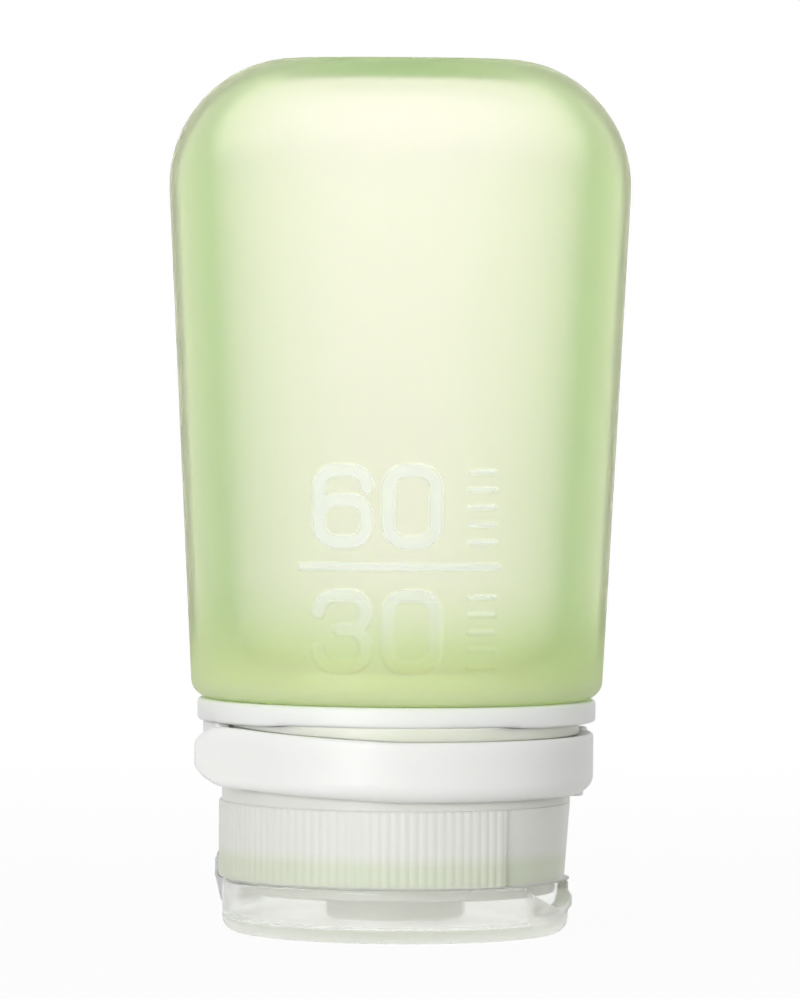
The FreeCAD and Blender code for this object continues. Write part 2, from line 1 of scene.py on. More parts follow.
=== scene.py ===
"""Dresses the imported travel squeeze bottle, which stands upside down on its flip lid.

The silicone body, collar, hanging loop, screw cap, drip valve, flip lid and hinge strap are
surfaces worked out on grids with numpy. Sizes are in millimetres, as on the part's drawing, and
become metres where a surface is put into a mesh. The front faces -Y and +Z is up.
"""

import logging
import math
from dataclasses import dataclass
from enum import Enum
from typing import Sequence, Union

import bpy
import numpy as np
from mathutils import Matrix, Quaternion, Vector


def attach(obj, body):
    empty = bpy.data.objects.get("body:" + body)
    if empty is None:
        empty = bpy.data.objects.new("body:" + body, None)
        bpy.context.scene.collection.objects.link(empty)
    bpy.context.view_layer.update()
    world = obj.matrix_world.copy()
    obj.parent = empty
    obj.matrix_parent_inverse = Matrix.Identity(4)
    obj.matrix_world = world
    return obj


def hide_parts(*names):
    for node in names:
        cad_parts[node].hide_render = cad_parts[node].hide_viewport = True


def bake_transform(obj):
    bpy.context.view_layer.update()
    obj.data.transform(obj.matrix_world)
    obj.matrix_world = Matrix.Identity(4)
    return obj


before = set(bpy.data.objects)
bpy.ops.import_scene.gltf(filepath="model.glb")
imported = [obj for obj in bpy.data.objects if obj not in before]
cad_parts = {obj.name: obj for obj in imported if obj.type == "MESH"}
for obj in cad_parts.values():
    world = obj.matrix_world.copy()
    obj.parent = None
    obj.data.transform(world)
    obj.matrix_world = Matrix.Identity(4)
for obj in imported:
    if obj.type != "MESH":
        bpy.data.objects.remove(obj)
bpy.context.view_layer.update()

MM = 0.001
WHITE = (1.0, 1.0, 1.0, 1.0)
LOG = logging.getLogger("travel_bottle")

# The angle of the front, in radians
FRONT = -math.pi / 2
# Lengths that differ by less count as the same
CLOSE = 1e-6
# How far beside an arc a run keeps a point, as shares of the arc's radius and of the run's rest
HOLD_RADIUS_SHARE = 0.3
HOLD_RUN_SHARE = 0.2
# The depth of the oval body and flange, as a share of their width
DEPTH_SHARE = 0.88
# How far the cap, the valve, the lid and the strap are turned about the axis, in degrees
CAP_BEARING = -22.0
# How far the flat for the hinge strap lies from the axis, on the cap and on the lid
SEAT_FACE = 17.6
# What the body's attribute mark says in the polished figures and all over the hollow
FIGURE_MARK = 1.0
HOLLOW_MARK = 2.0
# How many finer layers broad flow marks and a fine grain have
FLOW_DETAIL = 2.0
GRAIN_DETAIL = 1.0

Array = np.ndarray
Colour = tuple[float, float, float, float]
Triple = tuple[float, float, float]
Pair = tuple[float, float]


class Body(Enum):
    """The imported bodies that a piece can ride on."""

    BOTTLE = "bottle"
    LOOP = "loop"
    VALVE_RING = "valve_ring"
    CAP = "cap"
    LID = "lid"


class Slot(Enum):
    """The record's material slots."""

    SILICONE = "silicone"
    WHITE = "white_plastic"
    MILKY = "milky_plastic"
    CLEAR = "clear_plastic"
    VALVE = "valve_silicone"


class Operation(Enum):
    """The sums that a Value can do, by the names of Blender's Math node."""

    ADD = "ADD"
    SUBTRACT = "SUBTRACT"
    MULTIPLY = "MULTIPLY"
    DIVIDE = "DIVIDE"


# Surfaces


@dataclass
class Skin:
    """A closed surface: points in millimetres, its quads and triangles, and a number per point."""

    points: Array
    quads: Array
    triangles: Array
    marks: Array

    def volume(self) -> float:
        """The volume inside: the sum of the tetrahedra from the origin to each triangle.

        Returns:
            The volume, below zero where the faces point inwards.
        """
        halves = [self.triangles, self.quads[:, [0, 1, 2]], self.quads[:, [0, 2, 3]]]
        first, second, third = (self.points[np.concatenate(halves)[:, i]] for i in range(3))
        return float(np.einsum("ij,ij->", first, np.cross(second, third)) / 6)

    def facing_out(self) -> "Skin":
        """The same surface with its faces turned outwards.

        Returns:
            This surface, or a copy with each face's corners in the other order.
        """
        if self.volume() < 0:
            return Skin(self.points, self.quads[:, ::-1], self.triangles[:, ::-1], self.marks)
        return self


def grid_skin(grid: Array, wrap_rows: bool = False, marks: Union[Array, None] = None) -> Skin:
    """The closed surface over a grid of points.

    Neighbours in rows and columns make quads, and the last column joins the first. The rows
    join in the same way, or else the first and the last row are poles, where all points meet:
    a pole keeps one point, with a fan of triangles round it.

    Args:
        grid: Points of shape (rows, columns, 3).
        wrap_rows: Whether the last row joins the first.
        marks: A number per point, of shape (rows, columns), or none for zeros.

    Returns:
        The surface with its faces outwards.
    """
    rows, columns = grid.shape[:2]
    index = np.arange(rows * columns).reshape(rows, columns)
    beside = np.roll(index, -1, axis=1)
    quads = np.stack([index, beside, np.roll(beside, -1, axis=0), np.roll(index, -1, axis=0)], axis=-1)
    triangles = np.empty((0, 3), dtype=int)
    if not wrap_rows:
        start = np.stack([np.full(columns, index[0, 0]), beside[1], index[1]], axis=-1)
        end = np.stack([index[-2], beside[-2], np.full(columns, index[-1, 0])], axis=-1)
        triangles = np.concatenate([start, end])
        quads = quads[1:-2]
    quads = quads.reshape(-1, 4)
    used = np.concatenate([quads.ravel(), triangles.ravel()])
    kept, renumbered = np.unique(used, return_inverse=True)
    numbers = np.zeros(rows * columns) if marks is None else marks.ravel()
    return Skin(
        grid.reshape(-1, 3)[kept],
        renumbered[: quads.size].reshape(-1, 4),
        renumbered[quads.size :].reshape(-1, 3),
        numbers[kept],
    ).facing_out()


def joined(skins: Sequence[Skin]) -> Skin:
    """Several surfaces as one.

    Args:
        skins: The surfaces, each closed by itself.

    Returns:
        One surface with all their points and faces.
    """
    offsets = np.cumsum([0] + [len(skin.points) for skin in skins[:-1]])
    return Skin(
        np.concatenate([skin.points for skin in skins]),
        np.concatenate([skin.quads + offset for skin, offset in zip(skins, offsets)]),
        np.concatenate([skin.triangles + offset for skin, offset in zip(skins, offsets)]),
        np.concatenate([skin.marks for skin in skins]),
    )


def rounded(corners: Sequence[Triple], steps: int = 4, closed: bool = False) -> Array:
    """A line of straight runs whose corners are arcs.

    The arc at a corner touches both runs at radius / tan(half the angle between them) from the
    corner, and turns about the point on their bisector at radius / sin(half that angle). A point
    a little way along each run keeps the shading of the run flat.

    Args:
        corners: (across, up, radius) of each corner, with radius 0 for a sharp one.
        steps: Runs in each arc.
        closed: Whether the line returns to its first corner.

    Returns:
        Points of shape (n, 2).
    """
    places = np.array([corner[:2] for corner in corners], dtype=float)
    line = []
    for number, (across, up, radius) in enumerate(corners):
        at_end = number in (0, len(corners) - 1) and not closed
        if at_end or radius == 0:
            line.append(np.array([[across, up]]))
            continue
        corner = places[number]
        back = places[number - 1] - corner
        ahead = places[(number + 1) % len(corners)] - corner
        room = min(np.linalg.norm(back), np.linalg.norm(ahead))
        back, ahead = back / np.linalg.norm(back), ahead / np.linalg.norm(ahead)
        half = math.acos(float(np.clip(back @ ahead, -1, 1))) / 2
        reach = radius / math.tan(half)
        bisector = (back + ahead) / np.linalg.norm(back + ahead)
        centre = corner + bisector * radius / math.sin(half)
        begin = corner + back * reach - centre
        end = corner + ahead * reach - centre
        first = math.atan2(begin[1], begin[0])
        sweep = (math.atan2(end[1], end[0]) - first + math.pi) % (2 * math.pi) - math.pi
        turn = first + sweep * np.linspace(0, 1, steps + 1)
        hold = min(HOLD_RADIUS_SHARE * radius, HOLD_RUN_SHARE * max(room - reach, 0))
        arc = centre + radius * np.stack([np.cos(turn), np.sin(turn)], axis=-1)
        line += [arc[:1] + back * hold, arc, arc[-1:] + ahead * hold]
    return np.concatenate(line)


def rounded_box(low: Pair, high: Pair, radius: float, steps: int = 4) -> Array:
    """The outline of a box with rounded corners.

    Args:
        low: (across, up) of its first corner.
        high: (across, up) of the corner opposite.
        radius: The radius of its corners.
        steps: Runs in each corner's arc.

    Returns:
        Points of shape (n, 2).
    """
    places = [low, (high[0], low[1]), high, (low[0], high[1])]
    return rounded([(*place, radius) for place in places], steps, closed=True)


def rounded_end(left: Array, length: float) -> Array:
    """The share of its section that a bar keeps near its end: a quarter circle down to 0.

    Args:
        left: How far each place is from the bar's end.
        length: How far the rounding reaches back.

    Returns:
        The shares, from 0 at the end to 1.
    """
    inside = np.clip(left / length, 0, 1)
    return np.sqrt(1 - (1 - inside) ** 2)


def polar(radius: Array, angle: Array, height: Array) -> Array:
    """Points round the upright axis: r, a and z go to (r cos a, r sin a, z).

    Args:
        radius: Distances from the axis.
        angle: Angles, in radians, of a shape that fits the radii's.
        height: Heights, of a shape that fits both.

    Returns:
        Points of the common shape, with 3 numbers each.
    """
    across, along = radius * np.cos(angle), radius * np.sin(angle)
    return np.stack(np.broadcast_arrays(across, along, height), axis=-1)


def turned(profile: Array, angles: Array) -> Array:
    """A profile of points (r, z) turned about the upright axis to every angle, in radians."""
    return polar(profile[:, :1], angles, profile[:, 1:])


def all_round(columns: int) -> Array:
    """Equal angles all the way round, in radians."""
    return np.arange(columns) * (2 * math.pi / columns)


def pole(row: Array) -> Array:
    """A row that closes a grid's end: the middle of the grid's last points, for every column."""
    return np.repeat(row.mean(axis=0)[None, None], len(row), axis=1)


def spun(points: Array, degrees: float) -> Array:
    """The points turned about the upright axis."""
    return points @ np.array(Matrix.Rotation(-math.radians(degrees), 3, "Z"))


def moved_out(grid: Array, distance: Array) -> Array:
    """The points moved straight away from the upright axis.

    Args:
        grid: Points of shape (rows, columns, 3).
        distance: How far each goes, below zero for towards the axis.

    Returns:
        The points in their new places.
    """
    radius = np.maximum(np.hypot(grid[..., 0], grid[..., 1]), CLOSE)
    share = 1 + distance / radius
    return grid * np.stack([share, share, np.ones_like(radius)], axis=-1)


def eased(number: Array) -> Array:
    """A smooth step from 0 at 0 to 1 at 1: 3 t^2 - 2 t^3."""
    held = np.clip(number, 0, 1)
    return held * held * (3 - 2 * held)


def wrapped(angle: Array, whole: float) -> Array:
    """An angle, or other repeating number, brought to within half a whole of zero."""
    return (angle + whole / 2) % whole - whole / 2


def same(lengths: Array, length: float) -> Array:
    """Which of some lengths agree with one."""
    return np.abs(lengths - length) < CLOSE


@dataclass(frozen=True)
class Thread:
    """A right-handed screw thread of trapezoid section."""

    start: float
    turns: float
    rise: float = 0.9
    pitch: float = 4.0
    root_wide: float = 1.6
    crest_wide: float = 0.8
    fade: float = 0.06

    def height(self, angle: Array, level: Array) -> Array:
        """How far the thread stands out of its wall.

        At a turn count t its middle is start + pitch t high. The height is the whole rise within
        half the crest's width of the middle and falls evenly to 0 at half the root's width, and
        it fades out over the first and the last part of a turn.

        Args:
            angle: Angles round the axis, in radians.
            level: Heights up the axis, of a shape that fits the angles'.

        Returns:
            The heights above the wall.
        """
        height = np.zeros(np.broadcast_shapes(np.shape(angle), np.shape(level)))
        for lap in range(math.ceil(self.turns)):
            count = angle / (2 * math.pi) % 1 + lap
            off = np.abs(level - self.start - self.pitch * count)
            flank = np.clip((self.root_wide / 2 - off) * 2 / (self.root_wide - self.crest_wide), 0, 1)
            ends = eased(count / self.fade) * eased((self.turns - count) / self.fade)
            height = np.maximum(height, self.rise * flank * ends)
        return height


# Shaders


class Value:
    """A socket that carries a number over a surface, with Python's operators on it."""

    def __init__(self, shader: "Shader", socket: bpy.types.NodeSocket) -> None:
        """Keeps the socket and the shader that it belongs to."""
        self.shader = shader
        self.socket = socket

    def _sum(self, operation: Operation, first: "Number", second: "Number") -> "Value":
        """Adds one Math node for a sum of two numbers."""
        sockets = {0: first, 1: second}
        return self.shader.value("ShaderNodeMath", {"operation": operation.value}, sockets, "Value")

    def __add__(self, other: "Number") -> "Value":
        """This number plus another."""
        return self._sum(Operation.ADD, self, other)

    def __radd__(self, other: "Number") -> "Value":
        """Another number plus this one."""
        return self._sum(Operation.ADD, other, self)

    def __sub__(self, other: "Number") -> "Value":
        """This number less another."""
        return self._sum(Operation.SUBTRACT, self, other)

    def __rsub__(self, other: "Number") -> "Value":
        """Another number less this one."""
        return self._sum(Operation.SUBTRACT, other, self)

    def __mul__(self, other: "Number") -> "Value":
        """This number times another."""
        return self._sum(Operation.MULTIPLY, self, other)

    def __rmul__(self, other: "Number") -> "Value":
        """Another number times this one."""
        return self._sum(Operation.MULTIPLY, other, self)

    def __truediv__(self, other: "Number") -> "Value":
        """This number over another."""
        return self._sum(Operation.DIVIDE, self, other)

    def __rtruediv__(self, other: "Number") -> "Value":
        """Another number over this one."""
        return self._sum(Operation.DIVIDE, other, self)


Number = Union[float, Value]
Tint = Union[Colour, bpy.types.NodeSocket]


def sway(noise: Value, spread: float) -> Value:
    """Noise of 0 to 1 as a number that goes half a spread to either side of zero."""
    return spread * (noise - 0.5)


class Shader:
    """A node tree of a material or of the world, filled by Python expressions."""

    def __init__(self, owner: Union[bpy.types.Material, bpy.types.World]) -> None:
        """Empties the owner's node tree.

        Args:
            owner: The material or world.
        """
        owner.use_nodes = True
        self.tree = owner.node_tree
        self.tree.nodes.clear()

    def node(self, kind: str, settings: dict[str, object], sockets: dict) -> bpy.types.Node:
        """Adds a node.

        Args:
            kind: The node's type.
            settings: Its properties, which are set first.
            sockets: What feeds its inputs, by name or number: a Value, a socket or a constant.

        Returns:
            The node.
        """
        made = self.tree.nodes.new(kind)
        for name, content in settings.items():
            setattr(made, name, content)
        for key, content in sockets.items():
            source = content.socket if isinstance(content, Value) else content
            if isinstance(source, bpy.types.NodeSocket):
                self.tree.links.new(source, made.inputs[key])
            else:
                made.inputs[key].default_value = source
        return made

    def value(self, kind: str, settings: dict[str, object], sockets: dict, output: str) -> Value:
        """A number from one output of a new node."""
        return Value(self, self.node(kind, settings, sockets).outputs[output])

    def place(self) -> bpy.types.NodeSocket:
        """Where a point lies on its piece, in metres."""
        return self.node("ShaderNodeTexCoord", {}, {}).outputs["Object"]

    def height(self) -> Value:
        """How high a point lies on its piece, in millimetres."""
        return self.value("ShaderNodeSeparateXYZ", {}, {0: self.place()}, "Z") / MM

    def noise(self, size: float, detail: float = FLOW_DETAIL) -> Value:
        """Soft noise from 0 to 1, with the size of its patches in millimetres."""
        sockets = {"Vector": self.place(), "Scale": 1 / (size * MM), "Detail": detail}
        return self.value("ShaderNodeTexNoise", {}, sockets, "Fac")

    def blend(self, share: Value, low: Tint, high: Tint) -> bpy.types.NodeSocket:
        """A colour between two."""
        mixed = self.node("ShaderNodeMix", {"data_type": "RGBA"}, {0: share, 6: low, 7: high})
        return mixed.outputs[2]

    def smooth(self, number: Value, start: float, end: float) -> Value:
        """A smooth step from 0 where a number is start to 1 where it is end."""
        sockets = {"Value": number, "From Min": start, "From Max": end}
        return self.value("ShaderNodeMapRange", {"interpolation_type": "SMOOTHSTEP"}, sockets, "Result")

    def mark(self) -> Value:
        """The number that the piece's mesh carries at each point, or 0 where it carries none."""
        return self.value("ShaderNodeAttribute", {"attribute_name": "mark"}, {}, "Fac")

    def bump(self, height: Value, depth: float, strength: float) -> bpy.types.NodeSocket:
        """A normal from a height of 0 to 1 that stands for a depth in millimetres."""
        sockets = {"Height": height, "Distance": depth * MM, "Strength": strength}
        return self.node("ShaderNodeBump", {}, sockets).outputs["Normal"]

    def principled(self, sockets: dict) -> bpy.types.NodeSocket:
        """A Principled shader."""
        return self.node("ShaderNodeBsdfPrincipled", {}, sockets).outputs[0]

    def mixed(
        self, share: Value, first: bpy.types.NodeSocket, second: bpy.types.NodeSocket
    ) -> bpy.types.NodeSocket:
        """A shader that goes from a first one to a second by a share."""
        return self.node("ShaderNodeMixShader", {}, {0: share, 1: first, 2: second}).outputs[0]

    def absorption(self, colour: Colour, density: float) -> bpy.types.NodeSocket:
        """A volume that keeps back the light that its colour lacks, density per metre."""
        sockets = {"Color": colour, "Density": density}
        return self.node("ShaderNodeVolumeAbsorption", {}, sockets).outputs[0]

    def end(self, **ends: bpy.types.NodeSocket) -> None:
        """Ends a material's tree with what goes to Surface and, where one is given, to Volume."""
        self.node("ShaderNodeOutputMaterial", {}, ends)


@dataclass(frozen=True)
class FrostedSilicone:
    """Green silicone that lets light through, frosted outside, polished inside and in figures."""

    name: str = "frosted_silicone"
    clear_tint: Colour = (1.0, 0.91, 0.87, 1.0)
    clear_low_tint: Colour = (0.89, 0.97, 0.7, 1.0)
    clear_levels: Pair = (24.0, 36.0)
    polished_tint: Colour = WHITE
    thin_tint: Colour = (0.98, 0.95, 0.78, 1.0)
    thick_tint: Colour = (0.82, 1.0, 0.5, 1.0)
    tint_levels: Pair = (26.0, 40.0)
    cloudy_levels: Pair = (25.0, 36.0)
    cloudy_shares: Pair = (0.74, 0.15)
    cloudy_roughness: float = 0.45
    cloudy_depth: float = 9.0
    scatter: Triple = (1.0, 1.0, 0.7)
    figure_share: float = 0.3
    figure_levels: Pair = (27.0, 40.0)
    depth_colour: Colour = (0.51, 0.745, 0.325, 1.0)
    depth_density: float = 74.0
    frost: float = 0.72
    frost_spread: float = 0.1
    polish: float = 0.08
    index: float = 1.06
    patch_size: float = 9.0
    patch_share: float = 0.6
    grain_size: float = 0.16
    grain_depth: float = 0.03
    grain_strength: float = 0.15

    def material(self) -> bpy.types.Material:
        """Builds the material: a clear shader and a cloudy one, mixed by height.

        The thick shoulder is the cloudiest. The frost varies in cloudy patches with a fine grain.
        The attribute mark takes the frost off the figures, the more the higher they are, and off
        the hollow, where it takes the cloud away too.

        Returns:
            The material.
        """
        material = bpy.data.materials.new(self.name)
        shader = Shader(material)
        height = shader.height()
        low, high = self.cloudy_shares
        share = low + (high - low) * shader.smooth(height, *self.cloudy_levels)
        mark = shader.mark()
        polished = shader.smooth(mark, 0.0, FIGURE_MARK)
        inside = shader.smooth(mark, FIGURE_MARK, HOLLOW_MARK)
        pale = inside + (polished - inside) * shader.smooth(height, *self.figure_levels)
        cloud = shader.noise(self.patch_size)
        grain = shader.noise(self.grain_size, GRAIN_DETAIL)
        relief = grain * (1 - polished) + self.patch_share * cloud
        normal = shader.bump(relief, self.grain_depth, self.grain_strength)
        low_to_high = shader.smooth(height, *self.clear_levels)
        clear_tint = shader.blend(low_to_high, self.clear_low_tint, self.clear_tint)
        frost = self.frost + sway(cloud, self.frost_spread)
        clear = shader.principled(
            {
                "Base Color": shader.blend(pale, clear_tint, self.polished_tint),
                "Roughness": frost * (1 - pale) + self.polish * pale,
                "IOR": self.index,
                "Transmission Weight": 1.0,
                "Normal": normal,
            }
        )
        tint = shader.blend(shader.smooth(height, *self.tint_levels), self.thick_tint, self.thin_tint)
        cloudy = shader.principled(
            {
                "Base Color": shader.blend(pale, tint, self.polished_tint),
                "Roughness": self.cloudy_roughness + sway(cloud, self.frost_spread),
                "Subsurface Weight": 1.0,
                "Subsurface Radius": self.scatter,
                "Subsurface Scale": self.cloudy_depth * MM,
                "Normal": normal,
            }
        )
        share = (share + self.figure_share * pale) * (1 - inside)
        depth = shader.absorption(self.depth_colour, self.depth_density)
        shader.end(Surface=shader.mixed(share, clear, cloudy), Volume=depth)
        return material


@dataclass(frozen=True)
class SatinWhite:
    """White moulded plastic with a fine satin grain."""

    name: str = "satin_white"
    colour: Colour = (0.91, 0.915, 0.905, 1.0)
    warm: Colour = (0.89, 0.895, 0.875, 1.0)
    # Painted shade: green-grey, for the shade under the collar's flange and the green light from the
    # silicone
    painted_green_shade: Colour = (0.84, 0.87, 0.72, 1.0)
    gloss: float = 0.4
    index: float = 1.49
    softness: float = 1.0
    depth: float = 1.2
    scatter: Triple = (1.0, 1.0, 0.9)
    flow_size: float = 7.0
    flow_spread: float = 0.12
    grain_size: float = 0.2
    grain_spread: float = 0.06
    grain_depth: float = 0.02
    grain_strength: float = 0.35

    def material(self) -> bpy.types.Material:
        """Builds the material: faint flow marks in colour and roughness, and a satin grain.

        The attribute mark paints a green-grey shade: the shade under the collar's flange, tinted by
        green light from the silicone close by.

        Returns:
            The material.
        """
        material = bpy.data.materials.new(self.name)
        shader = Shader(material)
        flow = shader.noise(self.flow_size)
        grain = shader.noise(self.grain_size, GRAIN_DETAIL)
        plain = shader.blend(flow, self.warm, self.colour)
        surface = shader.principled(
            {
                # Where marked, the colour is the painted green-grey shade
                "Base Color": shader.blend(shader.mark(), plain, self.painted_green_shade),
                "Roughness": self.gloss + sway(flow, self.flow_spread) + sway(grain, self.grain_spread),
                "IOR": self.index,
                "Subsurface Weight": self.softness,
                "Subsurface Radius": self.scatter,
                "Subsurface Scale": self.depth * MM,
                "Normal": shader.bump(grain + flow, self.grain_depth, self.grain_strength),
            }
        )
        shader.end(Surface=surface)
        return material


@dataclass(frozen=True)
class ClearMoulding:
    """Plastic or thin silicone that lets light through, from clear to milky."""

    name: str
    colour: Colour
    haze: float
    roughness: float
    depth_colour: Colour
    depth_density: float
    frosted_colour: Colour = (0.975, 0.98, 0.945, 1.0)
    frosted: float = 0.34
    softness: float = 0.4
    soft_depth: float = 2.0
    scatter: Triple = (1.0, 1.0, 0.9)
    index: float = 1.45
    flow_size: float = 5.0
    flow_low: float = 0.7
    flow_spread: float = 0.6
    grain_size: float = 0.35
    grain_share: float = 0.3
    ripple: float = 0.03
    ripple_strength: float = 0.5

    def tint(self, shader: Shader) -> Tint:
        """The colour of the plastic where it isn't frosted."""
        return self.colour

    def material(self) -> bpy.types.Material:
        """Builds the material: part see-through, part milky, with soft flow marks and ripples.

        The attribute mark frosts the plastic.

        Returns:
            The material.
        """
        material = bpy.data.materials.new(self.name)
        shader = Shader(material)
        mark = shader.mark()
        flow = shader.noise(self.flow_size)
        grain = shader.noise(self.grain_size, GRAIN_DETAIL)
        plain = self.roughness * (self.flow_low + self.flow_spread * flow)
        relief = flow + self.grain_share * grain
        surface = shader.principled(
            {
                "Base Color": shader.blend(mark, self.tint(shader), self.frosted_colour),
                "Roughness": plain * (1 - mark) + self.frosted * mark,
                "IOR": self.index,
                "Transmission Weight": 1 - self.haze,
                "Subsurface Weight": self.softness,
                "Subsurface Radius": self.scatter,
                "Subsurface Scale": self.soft_depth * MM,
                "Normal": shader.bump(relief, self.ripple, self.ripple_strength),
            }
        )
        shader.end(Surface=surface, Volume=shader.absorption(self.depth_colour, self.depth_density))
        return material


@dataclass(frozen=True)
class MilkyMoulding(ClearMoulding):
    """Milky plastic with a painted band of green shade, standing for the silicone's lip seen through it.
    """

    # Painted green shade of the silicone's lip seen through the cap, and the heights where its band
    # begins and ends
    painted_green_shade: Colour = (0.86, 0.915, 0.75, 1.0)
    painted_band_start: Pair = (5.7, 6.1)
    painted_band_end: Pair = (7.6, 9.6)

    def tint(self, shader: Shader) -> Tint:
        """The painted green shade in a band near the base, where the lip shows through, and the plain
        colour below and above it.

        Args:
            shader: The material's shader.

        Returns:
            The colour.
        """
        height = shader.height()
        # Painted green shade between the band's heights
        band = shader.smooth(height, *self.painted_band_start) - shader.smooth(height, *self.painted_band_end)
        return shader.blend(band, self.colour, self.painted_green_shade)


MILKY_CAP = MilkyMoulding(
    name="milky_cap",
    colour=(0.985, 0.99, 0.93, 1.0),
    haze=0.74,
    roughness=0.34,
    softness=0.2,
    index=1.35,
    depth_colour=(0.85, 0.93, 0.75, 1.0),
    depth_density=10.0,
)
CLEAR_LID = ClearMoulding(
    name="clear_lid",
    colour=(0.98, 0.985, 0.97, 1.0),
    haze=0.06,
    roughness=0.14,
    depth_colour=(0.68, 0.73, 0.56, 1.0),
    depth_density=55.0,
    ripple=0.012,
)
BENT_STRAP = ClearMoulding(
    name="bent_strap",
    colour=(0.92, 0.93, 0.915, 1.0),
    haze=0.5,
    roughness=0.3,
    depth_colour=(0.8, 0.84, 0.74, 1.0),
    depth_density=40.0,
)
THIN_VALVE = ClearMoulding(
    name="thin_valve",
    colour=(0.93, 0.95, 0.91, 1.0),
    haze=0.35,
    roughness=0.5,
    depth_colour=(0.88, 0.92, 0.8, 1.0),
    depth_density=80.0,
)


def new_object(name: str, content: bpy.types.ID) -> bpy.types.Object:
    """Puts a mesh, lamp or camera into the scene.

    Args:
        name: The object's name.
        content: What it holds.

    Returns:
        The object, at the origin.
    """
    made = bpy.data.objects.new(name, content)
    bpy.context.scene.collection.objects.link(made)
    return made


def new_piece(
    name: str, skin: Skin, material: bpy.types.Material, slot: Slot, node: str
) -> bpy.types.Object:
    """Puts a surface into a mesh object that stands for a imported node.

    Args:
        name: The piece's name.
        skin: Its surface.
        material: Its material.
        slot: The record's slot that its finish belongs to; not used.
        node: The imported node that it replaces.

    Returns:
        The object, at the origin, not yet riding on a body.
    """
    mesh = bpy.data.meshes.new(name)
    mesh.vertices.add(len(skin.points))
    mesh.vertices.foreach_set("co", (skin.points * MM).astype(np.float32).ravel())
    sizes = np.repeat([4, 3], [len(skin.quads), len(skin.triangles)])
    corners = np.concatenate([skin.quads.ravel(), skin.triangles.ravel()])
    mesh.loops.add(len(corners))
    mesh.loops.foreach_set("vertex_index", corners.astype(np.int32))
    mesh.polygons.add(len(sizes))
    mesh.polygons.foreach_set("loop_start", (np.cumsum(sizes) - sizes).astype(np.int32))
    mesh.polygons.foreach_set("use_smooth", np.ones(len(sizes), dtype=bool))
    if skin.marks.any():
        marks = mesh.attributes.new("mark", "FLOAT", "POINT")
        marks.data.foreach_set("value", skin.marks.astype(np.float32))
    mesh.update(calc_edges=True)
    mesh.materials.append(material)
    piece = new_object(name, mesh)
    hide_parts(node)
    LOG.info("%s: %d points, %d faces", name, len(skin.points), len(sizes))
    return piece


# Pieces


@dataclass(frozen=True)
class Figures:
    """Plain figures and graduation ticks, sunk into the front of the body.

    A glyph is drawn by lines with round corners in a box one unit wide and tall units high.
    """

    tall: float = 1.5
    bend: float = 0.36
    middle_share: float = 0.52
    hook: float = 0.3
    bowl_start: float = 0.4
    bowl_rise: float = 0.1
    tongue: float = 0.45
    arc_steps: int = 6
    wide: float = 4.9
    stroke: float = 1.35
    edge: float = 0.22
    left: float = -8.1
    gap: float = 2.2
    rows: tuple[tuple[float, str], ...] = ((41.2, "60"), (28.4, "30"))
    bar_level: float = 38.7
    bar_ends: Pair = (-9.9, 10.1)
    bar_stroke: float = 0.75
    tick_ends: Pair = (7.4, 9.9)
    tick_stroke: float = 0.5
    tick_step: float = 1.8
    tick_count: int = 5

    def bowl(self, start: float, top: float) -> list[Triple]:
        """A round outline from a height on its left side, down, up to its top and back."""
        bend = self.bend
        return [(0, start, 0), (0, 0, bend), (1, 0, bend), (1, top, bend), (0, top, bend), (0, start, 0)]

    def glyph(self, figure: str) -> list[Array]:
        """The lines of one figure, in its unit box.

        Args:
            figure: The figure, one of 0, 3 and 6.

        Returns:
            The points of each line.
        """
        bend, tall, hook = self.bend, self.tall, self.hook
        middle = self.middle_share * tall
        tongue = (self.tongue, middle, 0)
        lines = {
            "0": [self.bowl(middle, tall)],
            "3": [
                [(0, tall - hook, 0), (0, tall, bend), (1, tall, bend), (1, middle, bend), tongue],
                [tongue, (1, middle, bend), (1, 0, bend), (0, 0, bend), (0, hook, 0)],
            ],
            "6": [
                [(1, tall - hook, 0), (1, tall, bend), (0, tall, bend), (0, self.bowl_start, 0)],
                self.bowl(self.bowl_start, middle + self.bowl_rise),
            ],
        }
        return [rounded(line, self.arc_steps) for line in lines[figure]]

    def strokes(self) -> list[tuple[Array, float]]:
        """All lines on the body, each with its stroke's width.

        Returns:
            Pairs of points (x, z) and a width.
        """
        drawn = [(np.array([[end, self.bar_level] for end in self.bar_ends]), self.bar_stroke)]
        for row, figures in self.rows:
            for place, figure in enumerate(figures):
                corner = np.array([self.left + place * (self.wide + self.gap), row])
                drawn += [(corner + self.wide * line, self.stroke) for line in self.glyph(figure)]
            for tick in range(self.tick_count):
                level = row + tick * self.tick_step
                drawn.append((np.array([[end, level] for end in self.tick_ends]), self.tick_stroke))
        return drawn

    def depth(self, across: Array, up: Array) -> Array:
        """How deep the figures are sunk, from 0 beside them to 1 inside.

        A point's distance to a line is the least of its distances to the line's straight runs.
        Where it is under half the stroke's width the figure is sunk, with a soft edge.

        Args:
            across: Places along X.
            up: Heights, of the same shape.

        Returns:
            The depths, of the same shape.
        """
        depth = np.zeros_like(across)
        for line, width in self.strokes():
            for begin, end in zip(line[:-1], line[1:]):
                run = end - begin
                x, z = across - begin[0], up - begin[1]
                along = np.clip((x * run[0] + z * run[1]) / max(run @ run, CLOSE**2), 0, 1)
                away = np.hypot(x - along * run[0], z - along * run[1])
                depth = np.maximum(depth, eased((width / 2 - away) / self.edge + 0.5))
        return depth


